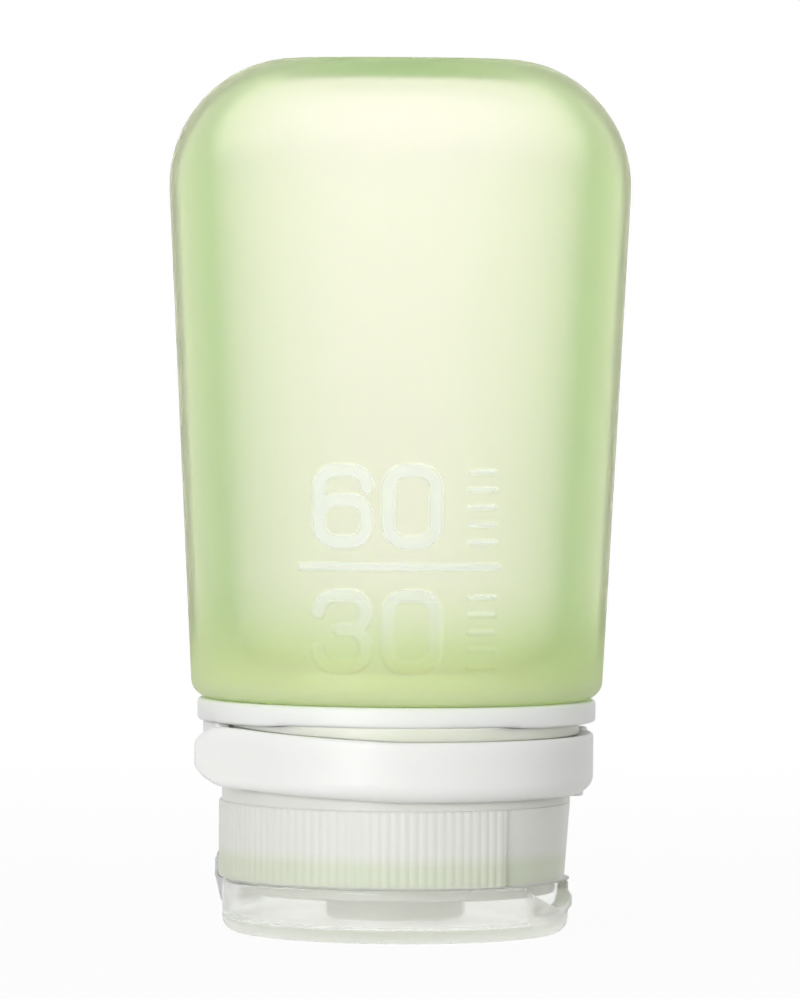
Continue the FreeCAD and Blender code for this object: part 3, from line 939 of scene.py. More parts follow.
@dataclass
class SqueezeBody:
    """The soft silicone body: an oval shell, a round neck and a lip folded over the collar."""

    shoulder_half: float = 21.3
    crown_half: float = 24.65
    shoulder_level: float = 24.3
    crown_level: float = 90.7
    crown_round: float = 13.2
    shoulder_round: float = 2.0
    wall: float = 5.0
    crown_wall: float = 2.2
    inner_shoulder: float = 27.5
    inner_round: float = 4.0
    inner_slack: float = 0.15
    hollow_share: float = 0.96
    mouth_radius: float = 11.7
    neck_radius: float = 13.5
    lip_radius: float = 15.0
    lip_low: float = 6.1
    lip_high: float = 8.05
    ledge: float = 0.8
    throat_edge: float = 0.5
    lip_edge: float = 0.4
    neck_edge: float = 0.3
    fold_edge: float = 0.2
    figure_depth: float = 0.3
    figure_levels: Pair = (27.0, 51.2)
    figure_angle: float = 30.0
    fine_angle: float = 0.42
    fine_step: float = 0.16
    coarse_columns: int = 100
    side_levels: int = 26
    floor_rows: int = 5
    hollow_steps: int = 12
    skin_steps: int = 16

    def ovals(self) -> tuple[Array, Array]:
        """The profile from the crown inside, out through the mouth and up to the crown outside.

        Returns:
            Points (r, z), and for each the share by which its ring is shallower than wide. The
            share goes smoothly to 1 along the shoulder, because the neck is round.
        """
        hollow_top = self.crown_level - self.crown_wall
        hollow_low_half = self.shoulder_half - self.wall + self.inner_slack
        mouth, neck = self.mouth_radius + self.ledge, self.neck_radius + self.ledge
        hollow = rounded(
            [
                (0, hollow_top, 0),
                (self.crown_half - self.wall, hollow_top, self.crown_round - self.wall),
                (hollow_low_half, self.inner_shoulder, self.inner_round),
                (mouth, self.inner_shoulder, 0),
            ],
            self.hollow_steps,
        )
        hollow = self.with_floor(hollow[:-1], mouth)
        throat = rounded(
            [
                (mouth, self.inner_shoulder, 0),
                (self.mouth_radius, self.inner_shoulder, self.throat_edge),
                (self.mouth_radius, self.lip_low, self.neck_edge),
                (self.lip_radius, self.lip_low, self.lip_edge),
                (self.lip_radius, self.lip_high, self.neck_edge),
                (self.neck_radius, self.lip_high, self.fold_edge),
                (self.neck_radius, self.shoulder_level, self.neck_edge),
                (neck, self.shoulder_level, 0),
            ]
        )
        skin = rounded(
            [
                (neck, self.shoulder_level, 0),
                (self.shoulder_half, self.shoulder_level, self.shoulder_round),
                (self.crown_half, self.crown_level, self.crown_round),
                (0, self.crown_level, 0),
            ],
            self.skin_steps,
        )
        skin = self.with_sides(self.with_floor(skin[1:][::-1], neck)[::-1])
        shares = [
            self.shares(hollow, mouth, self.hollow_share, self.inner_shoulder),
            np.ones(len(throat) - 2),
            self.shares(skin, neck, DEPTH_SHARE, self.shoulder_level),
        ]
        return np.concatenate([hollow, throat[1:-1], skin]), np.concatenate(shares)

    def with_floor(self, line: Array, inner: float) -> Array:
        """A line that ends on the shoulder's flat, carried on in even steps to a radius.

        Args:
            line: Points (r, z).
            inner: The radius where it ends.

        Returns:
            The longer line.
        """
        last = line[-1]
        steps = np.linspace(0, 1, self.floor_rows + 1)[1:, None]
        return np.concatenate([line, last + steps * (np.array([inner, last[1]]) - last)])

    def with_sides(self, line: Array) -> Array:
        """The outer line with more points up its straight side, closest where the figures are.

        Args:
            line: Points (r, z) from the neck up to the middle of the crown.

        Returns:
            The line, with the radii at the new heights between those of its own points.
        """
        climbing = line[:, 1] > self.shoulder_level + CLOSE
        on_crown = line[:, 1] >= self.crown_level - CLOSE
        side = line[climbing & ~on_crown]
        figure_top = self.figure_levels[1]
        fine = np.arange(*self.figure_levels, self.fine_step)
        coarse = np.linspace(figure_top, self.crown_level - self.crown_round, self.side_levels)
        heights = np.union1d(side[:, 1], np.concatenate([fine, coarse]))
        radii = np.interp(heights, side[:, 1], side[:, 0])
        return np.concatenate([line[~climbing], np.stack([radii, heights], axis=-1), line[on_crown]])

    def shares(self, line: Array, inner: float, share: float, floor: float) -> Array:
        """The depth share of each point: 1 at the round neck, eased along the shoulder's flat.

        Args:
            line: Points (r, z).
            inner: The neck's radius, where the flat begins.
            share: The depth share beyond the flat.
            floor: The flat's height.

        Returns:
            A share per point.
        """
        on_floor = same(line[:, 1], floor)
        outer = line[on_floor, 0].max()
        reach = eased((line[:, 0] - inner) / (outer - inner))
        return np.where(on_floor, 1 + (share - 1) * reach, share)

    def angles(self) -> Array:
        """The columns' angles, closest together across the figures at the front.

        Returns:
            Angles all the way round, in radians.
        """
        half = math.radians(self.figure_angle)
        fine = np.arange(-half, half, math.radians(self.fine_angle))
        coarse = np.linspace(half, 2 * math.pi - half, self.coarse_columns, endpoint=False)
        return np.concatenate([fine, coarse]) + FRONT

    def skin(self) -> Skin:
        """The shell: rings (a cos t, share a sin t, z), with the figures pushed in at the front.

        Returns:
            The surface, marked in the polished figures and all over the clear hollow.
        """
        profile, shares = self.ovals()
        angles = self.angles()
        grid = turned(profile, angles)
        grid[..., 1] *= shares[:, None]
        outside = np.arange(len(profile)) > np.argmax(profile[:, 1] == self.lip_high)
        front = outside[:, None] & (np.sin(angles) < 0)[None, :]
        depth = np.where(front, Figures().depth(grid[..., 0], grid[..., 2]), 0.0)
        slope = np.stack([DEPTH_SHARE * np.cos(angles), np.sin(angles)], axis=-1)
        slope /= np.linalg.norm(slope, axis=-1, keepdims=True)
        grid[..., :2] -= self.figure_depth * depth[..., None] * slope
        return grid_skin(grid, marks=np.where(outside[:, None], FIGURE_MARK * depth, HOLLOW_MARK))

    def build(self) -> None:
        """Builds and dresses the body."""
        silicone = FrostedSilicone().material()
        piece = new_piece("body_skin", self.skin(), silicone, Slot.SILICONE, "squeeze_body")
        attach(piece, Body.BOTTLE.value)


@dataclass(frozen=True)
class HingePin:
    """The headed pin that the loop swings on, and the axis for the rings about it."""

    place: Pair = (18.5437, 7.4921)
    radius: float = 0.6
    head: float = 1.1
    levels: Triple = (13.7, 14.5, 23.7)
    edges: tuple[float, float, float, float] = (0.25, 0.1, 0.05, 0.15)
    columns: int = 40

    def about(self, corners: Sequence[Triple], columns: int, closed: bool) -> Skin:
        """A section with rounded corners, turned about the pin's axis.

        Args:
            corners: (distance from the axis, height, radius) of each corner.
            columns: How many steps go round.
            closed: Whether the section is a ring's, clear of the axis.

        Returns:
            The surface.
        """
        grid = turned(rounded(corners, closed=closed), all_round(columns))
        return grid_skin(grid + np.array([*self.place, 0.0]), wrap_rows=closed)

    def ring(self, radii: Pair, levels: Pair, edges: Triple, columns: int) -> Skin:
        """A ring about the pin.

        Args:
            radii: Its inner and outer radius.
            levels: Its lower and upper height.
            edges: The radius of both inner edges, of the lower outer edge and of the upper one.
            columns: How many steps go round.

        Returns:
            The surface.
        """
        (inner, outer), (low, high), (eye, below, above) = radii, levels, edges
        corners = [(inner, low, eye), (outer, low, below), (outer, high, above), (inner, high, eye)]
        return self.about(corners, columns, closed=True)

    def skin(self) -> Skin:
        """The pin itself, from the middle of its head to the middle of its tip.

        Returns:
            The surface.
        """
        (low, neck, high), (rim, under, root, tip) = self.levels, self.edges
        corners = [
            (0, low, 0),
            (self.head, low, rim),
            (self.head, neck, under),
            (self.radius, neck, root),
            (self.radius, high, tip),
            (0, high, 0),
        ]
        return self.about(corners, self.columns, closed=False)


LOOP_PIN = HingePin()


@dataclass
class Collar:
    """The white collar: an oval flange, a threaded neck, a latch lug, a ledge and a hinge boss."""

    flange_half: float = 20.7
    flange_low: float = 22.0
    flange_top: float = 24.25
    flange_round: float = 0.35
    bore: float = 13.6
    root: float = 15.6
    end: float = 8.1
    edge: float = 0.2
    thread: Thread = Thread(start=9.9, turns=1.5)
    lug_radii: Pair = (18.5, 20.1)
    lug_levels: Pair = (17.4, 22.6)
    lug_bearings: Pair = (170.0, 203.0)
    lug_round: float = 0.5
    ledge_radii: Pair = (18.2, 19.0)
    ledge_bearings: Pair = (-158.0, 12.0)
    ledge_levels: Pair = (21.89, 20.81)
    ledge_round_share: float = 0.1
    boss_radius: float = 1.6
    boss_low: float = 21.3
    boss_edges: Triple = (0.1, 0.25, 0.25)
    columns: int = 240
    thread_rows: int = 64
    lug_rows: int = 40
    ledge_rows: int = 80
    ledge_steps: int = 2
    boss_columns: int = 40

    def ring(self) -> Skin:
        """The flange and the neck: rings that are oval at the flange's edge and round elsewhere.

        Returns:
            The surface, with the thread on the outside of the neck.
        """
        corners = [
            (self.bore, self.end, self.edge),
            (self.root, self.end, self.edge),
            (self.root, self.flange_low, self.edge),
            (self.flange_half, self.flange_low, self.flange_round),
            (self.flange_half, self.flange_top, self.flange_round),
            (self.bore, self.flange_top, self.edge),
        ]
        line = rounded(corners, closed=True)
        first, last = np.flatnonzero(same(line[:, 0], self.root))[[0, -1]]
        heights = np.linspace(line[first, 1], line[last, 1], self.thread_rows)
        wall = np.stack([np.full_like(heights, self.root), heights], axis=-1)
        line = np.concatenate([line[:first], wall, line[last + 1 :]])
        angles = all_round(self.columns)
        grid = turned(line, angles)
        reach = (line[:, 0] - self.root) / (self.flange_half - self.flange_round - self.root)
        grid[..., 1] *= (1 + (DEPTH_SHARE - 1) * eased(reach))[:, None]
        on_wall = same(line[:, :1], self.root)
        height = np.where(on_wall, self.thread.height(angles[None, :], line[:, 1:]), 0.0)
        return grid_skin(moved_out(grid, height), wrap_rows=True)

    def lug(self) -> Skin:
        """The latch lug: a rounded block carried round the axis between two bearings.

        Returns:
            The surface, with the section drawn in to a point at both ends.
        """
        bearings = np.radians(np.linspace(*self.lug_bearings, self.lug_rows))
        (inner, outer), (low, high) = self.lug_radii, self.lug_levels
        section = rounded_box((inner, low), (outer, high), self.lug_round)
        middle = np.array([(inner + outer) / 2, (low + high) / 2])
        near = np.minimum(bearings - bearings[0], bearings[-1] - bearings) * outer
        ends = rounded_end(near, self.lug_round)
        rows = middle + ends[:, None, None] * (section - middle)
        return grid_skin(polar(rows[..., 0], bearings[:, None], rows[..., 1]))

    def ledge(self) -> Skin:
        """The ledge over the loop: a band outside the cap, carried round the axis.

        Its lower edge falls evenly from the latch to the front, and is level from there on.

        Returns:
            The surface, marked all over, so that the white plastic paints it with the green-grey shade
            under the flange.
        """
        bearings = np.radians(np.linspace(*self.ledge_bearings, self.ledge_rows))
        front = np.clip((bearings - bearings[0]) / (FRONT - bearings[0]), 0, 1)
        (inner, outer), (first, last) = self.ledge_radii, self.ledge_levels
        low = (first + (last - first) * front)[:, None]
        section = rounded_box((0, 0), (1, 1), self.ledge_round_share, self.ledge_steps)
        radius = inner + (outer - inner) * section[:, 0]
        up = low + (self.flange_low + self.edge - low) * section[:, 1]
        grid = polar(radius, bearings[:, None], up)
        rows = np.concatenate([pole(grid[0]), grid, pole(grid[-1])])
        # Marked all over for the painted green-grey shade under the flange
        return grid_skin(rows, marks=np.ones(rows.shape[:2]))

    def boss(self) -> Skin:
        """The hinge boss: a ring about the pin.

        Returns:
            The surface.
        """
        radii = (LOOP_PIN.radius, self.boss_radius)
        levels = (self.boss_low, self.flange_top - self.flange_round)
        return LOOP_PIN.ring(radii, levels, self.boss_edges, self.boss_columns)

    def build(self, white: bpy.types.Material) -> None:
        """Builds and dresses the collar in the white plastic."""
        skin = joined([self.ring(), self.lug(), self.ledge(), self.boss()])
        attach(new_piece("collar_ring", skin, white, Slot.WHITE, "collar"), Body.BOTTLE.value)


@dataclass
class HangingLoop:
    """The white loop: a curved arm round the front of the cap, a pull tab and a knuckle."""

    inner: float = 18.4
    thick: float = 2.1
    low: float = 14.6
    tall: float = 6.4
    first_bearing: float = 19.4
    sweep: float = 149.4
    tab_reach: float = 10.4
    tab_raise: float = 1.15
    tab_edge: float = 0.6
    end_reach: float = 4.4
    end_edge: float = 0.7
    top_edge: float = 0.4
    low_edge: float = 1.95
    inner_edge: float = 0.13
    inner_drop: float = 0.6
    knuckle_radius: float = 1.5
    knuckle_low: float = 15.4
    knuckle_edges: Triple = (0.1, 0.6, 0.3)
    eye_radius: float = 0.65
    arc_rows: int = 110
    tab_rows: int = 40
    section_steps: int = 8
    knuckle_columns: int = 48

    def route(self) -> tuple[Array, Array, Array, Array]:
        """The arm's line, seen from above: an arc about the axis, then its tangent.

        Returns:
            Points (x, y) of the inner face, the outward direction at each, how far each is from
            the tab's end, and how far each is past the front of the arc.
        """
        bearings = np.radians(self.first_bearing - np.linspace(0, self.sweep, self.arc_rows))
        outward = np.stack([np.cos(bearings), np.sin(bearings)], axis=-1)
        along = np.array([outward[-1, 1], -outward[-1, 0]])
        steps = self.tab_reach * np.sin(np.linspace(0, math.pi / 2, self.tab_rows + 1)[1:])
        tab = self.inner * outward[-1] + steps[:, None] * along
        points = np.concatenate([self.inner * outward, tab])
        left = np.concatenate([np.full(self.arc_rows, self.tab_reach), self.tab_reach - steps])
        past = self.inner * np.clip(FRONT - bearings, 0, None)
        past = np.concatenate([past, past[-1] + steps])
        outward = np.concatenate([outward, np.repeat(outward[-1:], len(steps), axis=0)])
        return points, outward, left, past

    def section(self, low_edge: float) -> Array:
        """The arm's rounded section about its middle height.

        Args:
            low_edge: The radius of its lower outer edge.

        Returns:
            Points (distance from the inner face, height).
        """
        half = self.tall / 2
        corners = [
            (0, -half, self.inner_edge),
            (self.thick, -half, low_edge),
            (self.thick, half, self.top_edge),
            (0, half - self.inner_drop, self.top_edge),
        ]
        return rounded(corners, self.section_steps, closed=True)

    def arm(self) -> Skin:
        """The arm and its tab: a rounded section carried along the route.

        Over the last stretch the section's height follows a half ellipse, so the tab ends round,
        and its thickness does so over a shorter one. Past the front the arm climbs evenly, so
        the tab's end lies just under the collar, and its lower edge gets sharper. The top slopes
        down to the inside, clear of the collar's ledge.

        Returns:
            The surface.
        """
        points, outward, left, past = self.route()
        half = self.tall / 2
        plain, tab = (self.section(edge) for edge in (self.low_edge, self.tab_edge))
        share = past / past[-1]
        section = plain + share[:, None, None] * (tab - plain)
        squat = rounded_end(left, self.end_reach)
        thin = rounded_end(left, self.end_edge)
        across = self.thick / 2 + thin[:, None] * (section[..., 0] - self.thick / 2)
        climb = self.tab_raise * share
        up = self.low + half + climb[:, None] + squat[:, None] * section[..., 1]
        place = points[:, None, :] + across[..., None] * outward[:, None, :]
        grid = np.concatenate([place, up[..., None]], axis=-1)
        return grid_skin(np.concatenate([pole(grid[0]), grid]))

    def knuckle(self) -> Skin:
        """The knuckle: a ring about the pin, behind the arm.

        Returns:
            The surface.
        """
        radii = (self.eye_radius, self.knuckle_radius)
        levels = (self.knuckle_low, self.low + self.tall)
        return LOOP_PIN.ring(radii, levels, self.knuckle_edges, self.knuckle_columns)

    def build(self, white: bpy.types.Material) -> None:
        """Builds and dresses the loop and its pin in the white plastic.

        Args:
            white: The white plastic.
        """
        arm = joined([self.arm(), self.knuckle()])
        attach(new_piece("loop_arm", arm, white, Slot.WHITE, "hanging_loop"), Body.LOOP.value)
        pin = new_piece("loop_pin", LOOP_PIN.skin(), white, Slot.WHITE, "loop_hinge_pin")
        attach(pin, Body.BOTTLE.value)


@dataclass
class ScrewCap:
    """The milky screw cap: ribbed grip, plain skirt, inner thread, deck and spout."""

    orifice: float = 4.2
    boss_radius: float = 7.15
    boss_tip: float = 1.55
    plateau_face: float = 4.3
    plateau_radius: float = 16.6
    base: float = 5.7
    grip_radius: float = 18.4
    grip_top: float = 13.7
    skirt_radius: float = 18.1
    skirt_end: float = 21.6
    skirt_bore: float = 16.8
    seal_top: float = 7.8
    seal_bore: float = 15.3
    deck_inner: float = 6.0
    seat_radius: float = 6.2
    seat_floor: float = 3.0
    thread: Thread = Thread(start=11.656, turns=1.25)
    edge: float = 0.2
    outer_edge: float = 0.3
    step_edge: float = 0.15
    step_root: float = 0.1
    seat_edge: float = 0.1
    orifice_edge: float = 0.25
    tip_edge: float = 0.4
    rib_depth: float = 0.1
    rib_step: float = 3.0
    rib_half: float = 0.95
    scoop_middle: float = 4.0
    scoop_half: float = 33.0
    scoop_soft: float = 3.0
    scoop_depths: Pair = (0.85, 0.28)
    hinge_half: float = 3.7
    hinge_top: float = 8.9
    columns: int = 720
    thread_rows: int = 34
    grip_rows: int = 12
    edge_steps: int = 2

    def profile(self) -> Array:
        """The cap's section, with rows up the grip and up the threaded bore.

        Returns:
            Points (r, z), all round the section.
        """
        grip_middle = (self.grip_radius, (self.base + self.grip_top) / 2, 0)
        bore_middle = (self.skirt_bore, (self.skirt_end + self.seal_top) / 2, 0)
        outside = rounded(
            [
                (self.boss_radius, self.plateau_face, 0),
                (self.plateau_radius, self.plateau_face, self.edge),
                (self.plateau_radius, self.base, self.edge),
                (self.grip_radius, self.base, self.outer_edge),
                grip_middle,
            ],
            self.edge_steps,
        )
        above = rounded(
            [
                grip_middle,
                (self.grip_radius, self.grip_top, self.step_edge),
                (self.skirt_radius, self.grip_top, self.step_root),
                (self.skirt_radius, self.skirt_end, self.outer_edge),
                (self.skirt_bore, self.skirt_end, self.outer_edge),
                bore_middle,
            ],
            self.edge_steps,
        )
        inside = rounded(
            [
                bore_middle,
                (self.skirt_bore, self.seal_top, self.edge),
                (self.seal_bore, self.seal_top, self.edge),
                (self.seal_bore, self.deck_inner, self.edge),
                (self.seat_radius, self.deck_inner, self.edge),
                (self.seat_radius, self.seat_floor, self.seat_edge),
                (self.orifice, self.seat_floor, self.seat_edge),
                (self.orifice, self.boss_tip, self.orifice_edge),
                (self.boss_radius, self.boss_tip, self.tip_edge),
                (self.boss_radius, self.plateau_face, 0),
            ],
            self.edge_steps,
        )
        grip = np.linspace(outside[-2, 1], above[1, 1], self.grip_rows)[1:-1]
        bore = np.linspace(above[-2, 1], inside[1, 1], self.thread_rows)[1:-1]
        return np.concatenate(
            [
                outside[:-1],
                np.stack([np.full_like(grip, self.grip_radius), grip], axis=-1),
                above[1:-1],
                np.stack([np.full_like(bore, self.skirt_bore), bore], axis=-1),
                inside[1:-1],
            ]
        )

    def grip(self, angles: Array, line: Array) -> Array:
        """How far the grip is cut back from its full radius.

        Furrows of V section stand every rib_step degrees, and a smooth scoop, deeper at the base,
        takes their place over the thumb's stretch of the turn.

        Args:
            angles: The columns' angles in the cap's own frame, in radians.
            line: The section's points (r, z).

        Returns:
            The depths, of shape (rows, columns).
        """
        degrees = wrapped(np.degrees(angles) - self.scoop_middle, 360.0)
        off = np.abs(wrapped(degrees - self.scoop_half - self.rib_step / 2, self.rib_step))
        thumb = eased((self.scoop_half - np.abs(degrees)) / self.scoop_soft + 0.5)
        furrow = self.rib_depth * np.clip(1 - off / self.rib_half, 0, 1) * (thumb < 0.5)
        rise = np.clip((line[:, 1] - self.base) / (self.grip_top - self.base), 0, 1)
        low, high = self.scoop_depths
        scoop = (low + (high - low) * rise)[:, None] * thumb
        on_grip = (line[:, 0] > self.skirt_radius + CLOSE) & (line[:, 1] <= self.grip_top)
        return np.where(on_grip[:, None], np.maximum(furrow[None, :], scoop), 0.0)

    def skin(self) -> Skin:
        """The cap: its section turned about the axis, cut back at the grip, threaded in the bore.

        A flat on the side away from the thumb's scoop takes the hinge strap.

        Returns:
            The surface.
        """
        line = self.profile()
        angles = all_round(self.columns)
        grid = moved_out(turned(line, angles), -self.grip(angles, line))
        on_bore = same(line[:, :1], self.skirt_bore)
        thread = np.where(on_bore, self.thread.height(angles[None, :], line[:, 1:]), 0.0)
        grid = moved_out(grid, -thread)
        x, y, z = np.moveaxis(grid, -1, 0)
        flat = (np.abs(y) < self.hinge_half) & (z < self.hinge_top) & (x < -SEAT_FACE)
        grid[..., 0] = np.where(flat, -SEAT_FACE, x)
        return grid_skin(spun(grid, CAP_BEARING), wrap_rows=True)

    def build(self, milky: bpy.types.Material) -> None:
        """Builds and dresses the cap in the milky plastic."""
        piece = new_piece("cap_ribbed", self.skin(), milky, Slot.MILKY, "screw_cap")
        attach(piece, Body.CAP.value)


@dataclass
class DripValve:
    """The soft valve with its cross slit, and the ring that holds it on its seat."""

    radius: float = 6.15
    low: float = 3.0
    thick: float = 0.8
    web: float = 0.4
    rim: float = 2.0
    rim_edge: float = 0.15
    pocket_edge: float = 0.1
    slit_reach: float = 2.6
    slit_half: float = 0.14
    slit_depth: float = 0.17
    ring_inner: float = 4.55
    ring_levels: Pair = (3.85, 5.85)
    ring_edge: float = 0.2
    columns: int = 240
    web_rows: int = 16
    ring_columns: int = 120

    def valve(self) -> Skin:
        """The valve: a turned flange and web, pinched from both faces along the two slits.

        Returns:
            The surface.
        """
        high, web = self.low + self.thick, self.low + self.web
        pocket = self.radius - self.rim
        corners = [
            (pocket, self.low, 0),
            (self.radius, self.low, self.rim_edge),
            (self.radius, high, self.rim_edge),
            (pocket, high, self.rim_edge),
            (pocket, web, self.pocket_edge),
            (self.slit_reach, web, 0),
        ]
        radii = np.linspace(0, self.slit_reach, self.web_rows)
        flat = np.append(radii, pocket - self.pocket_edge)
        under = np.stack([flat, np.full_like(flat, self.low)], axis=-1)
        back = radii[::-1][1:]
        over = np.stack([back, np.full_like(back, web)], axis=-1)
        line = np.concatenate([under, rounded(corners)[1:], over])
        grid = turned(line, all_round(self.columns))
        away = np.minimum(np.abs(grid[..., 0]), np.abs(grid[..., 1]))
        reach = np.hypot(grid[..., 0], grid[..., 1])
        pinch = self.slit_depth * np.clip(1 - away / self.slit_half, 0, 1) * (reach < self.slit_reach)
        inward = np.where(grid[..., 2] < self.low + self.web / 2, 1.0, -1.0)
        grid[..., 2] += pinch * inward
        return grid_skin(spun(grid, CAP_BEARING))

    def ring(self) -> Skin:
        """The ring: a rounded square section turned about the axis.

        Returns:
            The surface.
        """
        low, high = self.ring_levels
        section = rounded_box((self.ring_inner, low), (self.radius, high), self.ring_edge)
        return grid_skin(turned(section, all_round(self.ring_columns)), wrap_rows=True)

    def build(self, milky: bpy.types.Material) -> None:
        """Builds and dresses the valve and its ring.

        Args:
            milky: The milky plastic, for the ring.
        """
        valve = new_piece("valve_slit", self.valve(), THIN_VALVE.material(), Slot.VALVE, "drip_valve")
        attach(valve, Body.CAP.value)
        ring = new_piece("valve_retaining_ring", self.ring(), milky, Slot.MILKY, "valve_retainer")
        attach(ring, Body.VALVE_RING.value)


@dataclass
class FlipLid:
    """The clear flip lid with its plug and thumb notch, and the bowed strap of its hinge."""

    radius: float = 18.0
    bore: float = 16.9
    floor: float = 1.4
    tall: float = 5.5
    edge_round: float = 1.6
    inner_round: float = 0.8
    rim_edge: float = 0.3
    plug_radii: Pair = (3.1, 3.9)
    plug_top: float = 2.5
    plug_edge: float = 0.25
    plug_root: float = 0.2
    notch_low: float = 3.2
    notch_radius: float = 8.46
    notch_half: float = 5.8
    still_level: float = 2.0
    lip_reach: float = 0.6
    lip_levels: Pair = (2.2, 3.2)
    lip_half: float = 17.0
    lip_soft: float = 5.0
    seat_low: float = 2.5
    seat_gap: float = 0.03
    strap_half: float = 3.5
    strap_outline: tuple[Pair, ...] = ((2.7, 18.3), (5.45, 19.0), (7.15, 19.0), (8.7, 18.3))
    strap_round: float = 0.25
    strap_end_share: float = 0.4
    hinge_reach: float = 18.1
    hinge_level: float = 5.6
    film_radius: float = 0.5
    bend_reach: float = 0.9
    thumb_half: float = 17.5
    thumb_soft: float = 1.0
    frosted_levels: Pair = (1.9, 1.4)
    columns: int = 360
    wall_rows: int = 14
    wall_least: float = 1.0
    edge_steps: int = 5
    strap_rows: int = 61

    def profile(self) -> Array:
        """The lid's section from the middle of its outer face to the middle of its inner face.

        Returns:
            Points (r, z), with more rows up each tall wall.
        """
        inner, outer = self.plug_radii
        dish = rounded(
            [
                (0, 0, 0),
                (self.radius, 0, self.edge_round),
                (self.radius, self.tall, self.rim_edge),
                (self.bore, self.tall, self.rim_edge),
                (self.bore, self.floor, self.inner_round),
                (outer, self.floor, self.plug_root),
                (outer, self.plug_top, self.plug_edge),
                (inner, self.plug_top, self.plug_edge),
                (inner, self.floor, self.plug_root),
                (0, self.floor, 0),
            ],
            self.edge_steps,
        )
        walls = np.flatnonzero(np.abs(np.diff(dish[:, 1])) > self.wall_least)
        share = np.linspace(0, 1, self.wall_rows)[1:-1, None]
        pieces = np.split(dish, walls + 1)
        rises = [dish[wall] + share * (dish[wall + 1] - dish[wall]) for wall in walls]
        return np.concatenate([pieces[0], *(part for pair in zip(rises, pieces[1:]) for part in pair)])

    def lid(self) -> Skin:
        """The lid: its section turned about the axis, with the rim lowered at the thumb notch.

        Above still_level a point's height is scaled so that the rim follows the notch's arc,
        notch_low + R - sqrt(R^2 - y^2). Below the notch's rim the outer wall flares into a lip.

        Returns:
            The surface, marked where it is frosted: on the wall below the notch and all over
            the floor.
        """
        line = self.profile()
        angles = all_round(self.columns)
        degrees = np.abs(wrapped(np.degrees(angles), 360.0))
        grid = turned(line, angles)
        side = np.where(degrees < 90, np.abs(self.radius * np.sin(angles)), self.notch_half)
        arc = self.notch_radius - np.sqrt(self.notch_radius**2 - np.clip(side, 0, self.notch_half) ** 2)
        notch = np.minimum(self.notch_low + arc, self.tall)
        rim = np.where(side < self.notch_half, notch, self.tall)
        lift = (rim - self.still_level) / (self.tall - self.still_level)
        on_wall = (line[:, 0] > self.bore - CLOSE)[:, None]
        above = grid[..., 2] - self.still_level
        grid[..., 2] = np.where(on_wall & (above > 0), self.still_level + above * lift, grid[..., 2])
        outer = (line[:, 0] > (self.bore + self.radius) / 2)[:, None]
        low, full = self.lip_levels
        flare = eased((grid[..., 2] - low) / (full - low))
        flare = flare * eased((self.lip_half - degrees) / self.lip_soft)
        grid = moved_out(grid, np.where(outer, self.lip_reach * flare, 0.0))
        flat = (grid[..., 0] < -SEAT_FACE) & (grid[..., 2] > self.seat_low)
        grid[..., 0] = np.where(flat, -SEAT_FACE, grid[..., 0])
        thumb = on_wall * eased((self.thumb_half - degrees) / self.thumb_soft)
        clear_from, frosted_to = self.frosted_levels
        floor = eased((grid[..., 2] - clear_from) / (frosted_to - clear_from))
        return grid_skin(spun(grid, CAP_BEARING), marks=np.maximum(thumb, floor))

    def strap(self) -> Skin:
        """The strap: level cuts of a bowed band, rounded rectangles from its face to its bow.

        The face is flat, apart from a round groove that leaves a thin film on the hinge line.

        Returns:
            The surface.
        """
        bow = np.array(self.strap_outline)
        levels = np.linspace(bow[0, 0], bow[-1, 0], self.strap_rows)
        outer = np.interp(levels, bow[:, 0], bow[:, 1])
        off = np.clip(np.abs(levels - self.hinge_level) / self.film_radius, 0, 1)
        groove = self.hinge_reach - SEAT_FACE + self.film_radius * np.sqrt(1 - off**2)
        inner = SEAT_FACE + np.where(off < 1, groove, self.seat_gap)
        section = rounded_box((0, -self.strap_half), (1, self.strap_half), self.strap_round)
        near = np.minimum(levels - levels[0], levels[-1] - levels)
        ends = rounded_end(near, self.strap_round)
        kept = self.strap_end_share + (1 - self.strap_end_share) * ends
        thin = 0.5 + kept[:, None] * (section[:, 0] - 0.5)
        across = -(inner[:, None] + thin * (outer - inner)[:, None])
        grid = np.stack(np.broadcast_arrays(across, section[:, 1], levels[:, None]), axis=-1)
        return grid_skin(spun(np.concatenate([pole(grid[0]), grid, pole(grid[-1])]), CAP_BEARING))

    def build(self, clear: bpy.types.Material) -> None:
        """Builds and dresses the lid, and the strap between the cap and the lid.

        Args:
            clear: The lid's clear plastic.
        """
        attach(new_piece("lid_clear", self.lid(), clear, Slot.CLEAR, "flip_lid"), Body.LID.value)
        bent = BENT_STRAP.material()
        strap = new_piece("hinge_strap", self.strap(), bent, Slot.CLEAR, "lid_hinge_strap")
        hinge = spun(np.array([-self.hinge_reach, 0.0, self.hinge_level]), CAP_BEARING) * MM
        reach = np.array([0.0, 0.0, self.bend_reach]) * MM
        start, end = tuple(hinge + reach), tuple(hinge - reach)
        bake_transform(strap)
        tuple(start)
        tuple(end)


# Studio


@dataclass(frozen=True)
class Lamp:
    """A square soft box that faces the bottle."""

    name: str
    place: Triple
    side: float
    watts: float


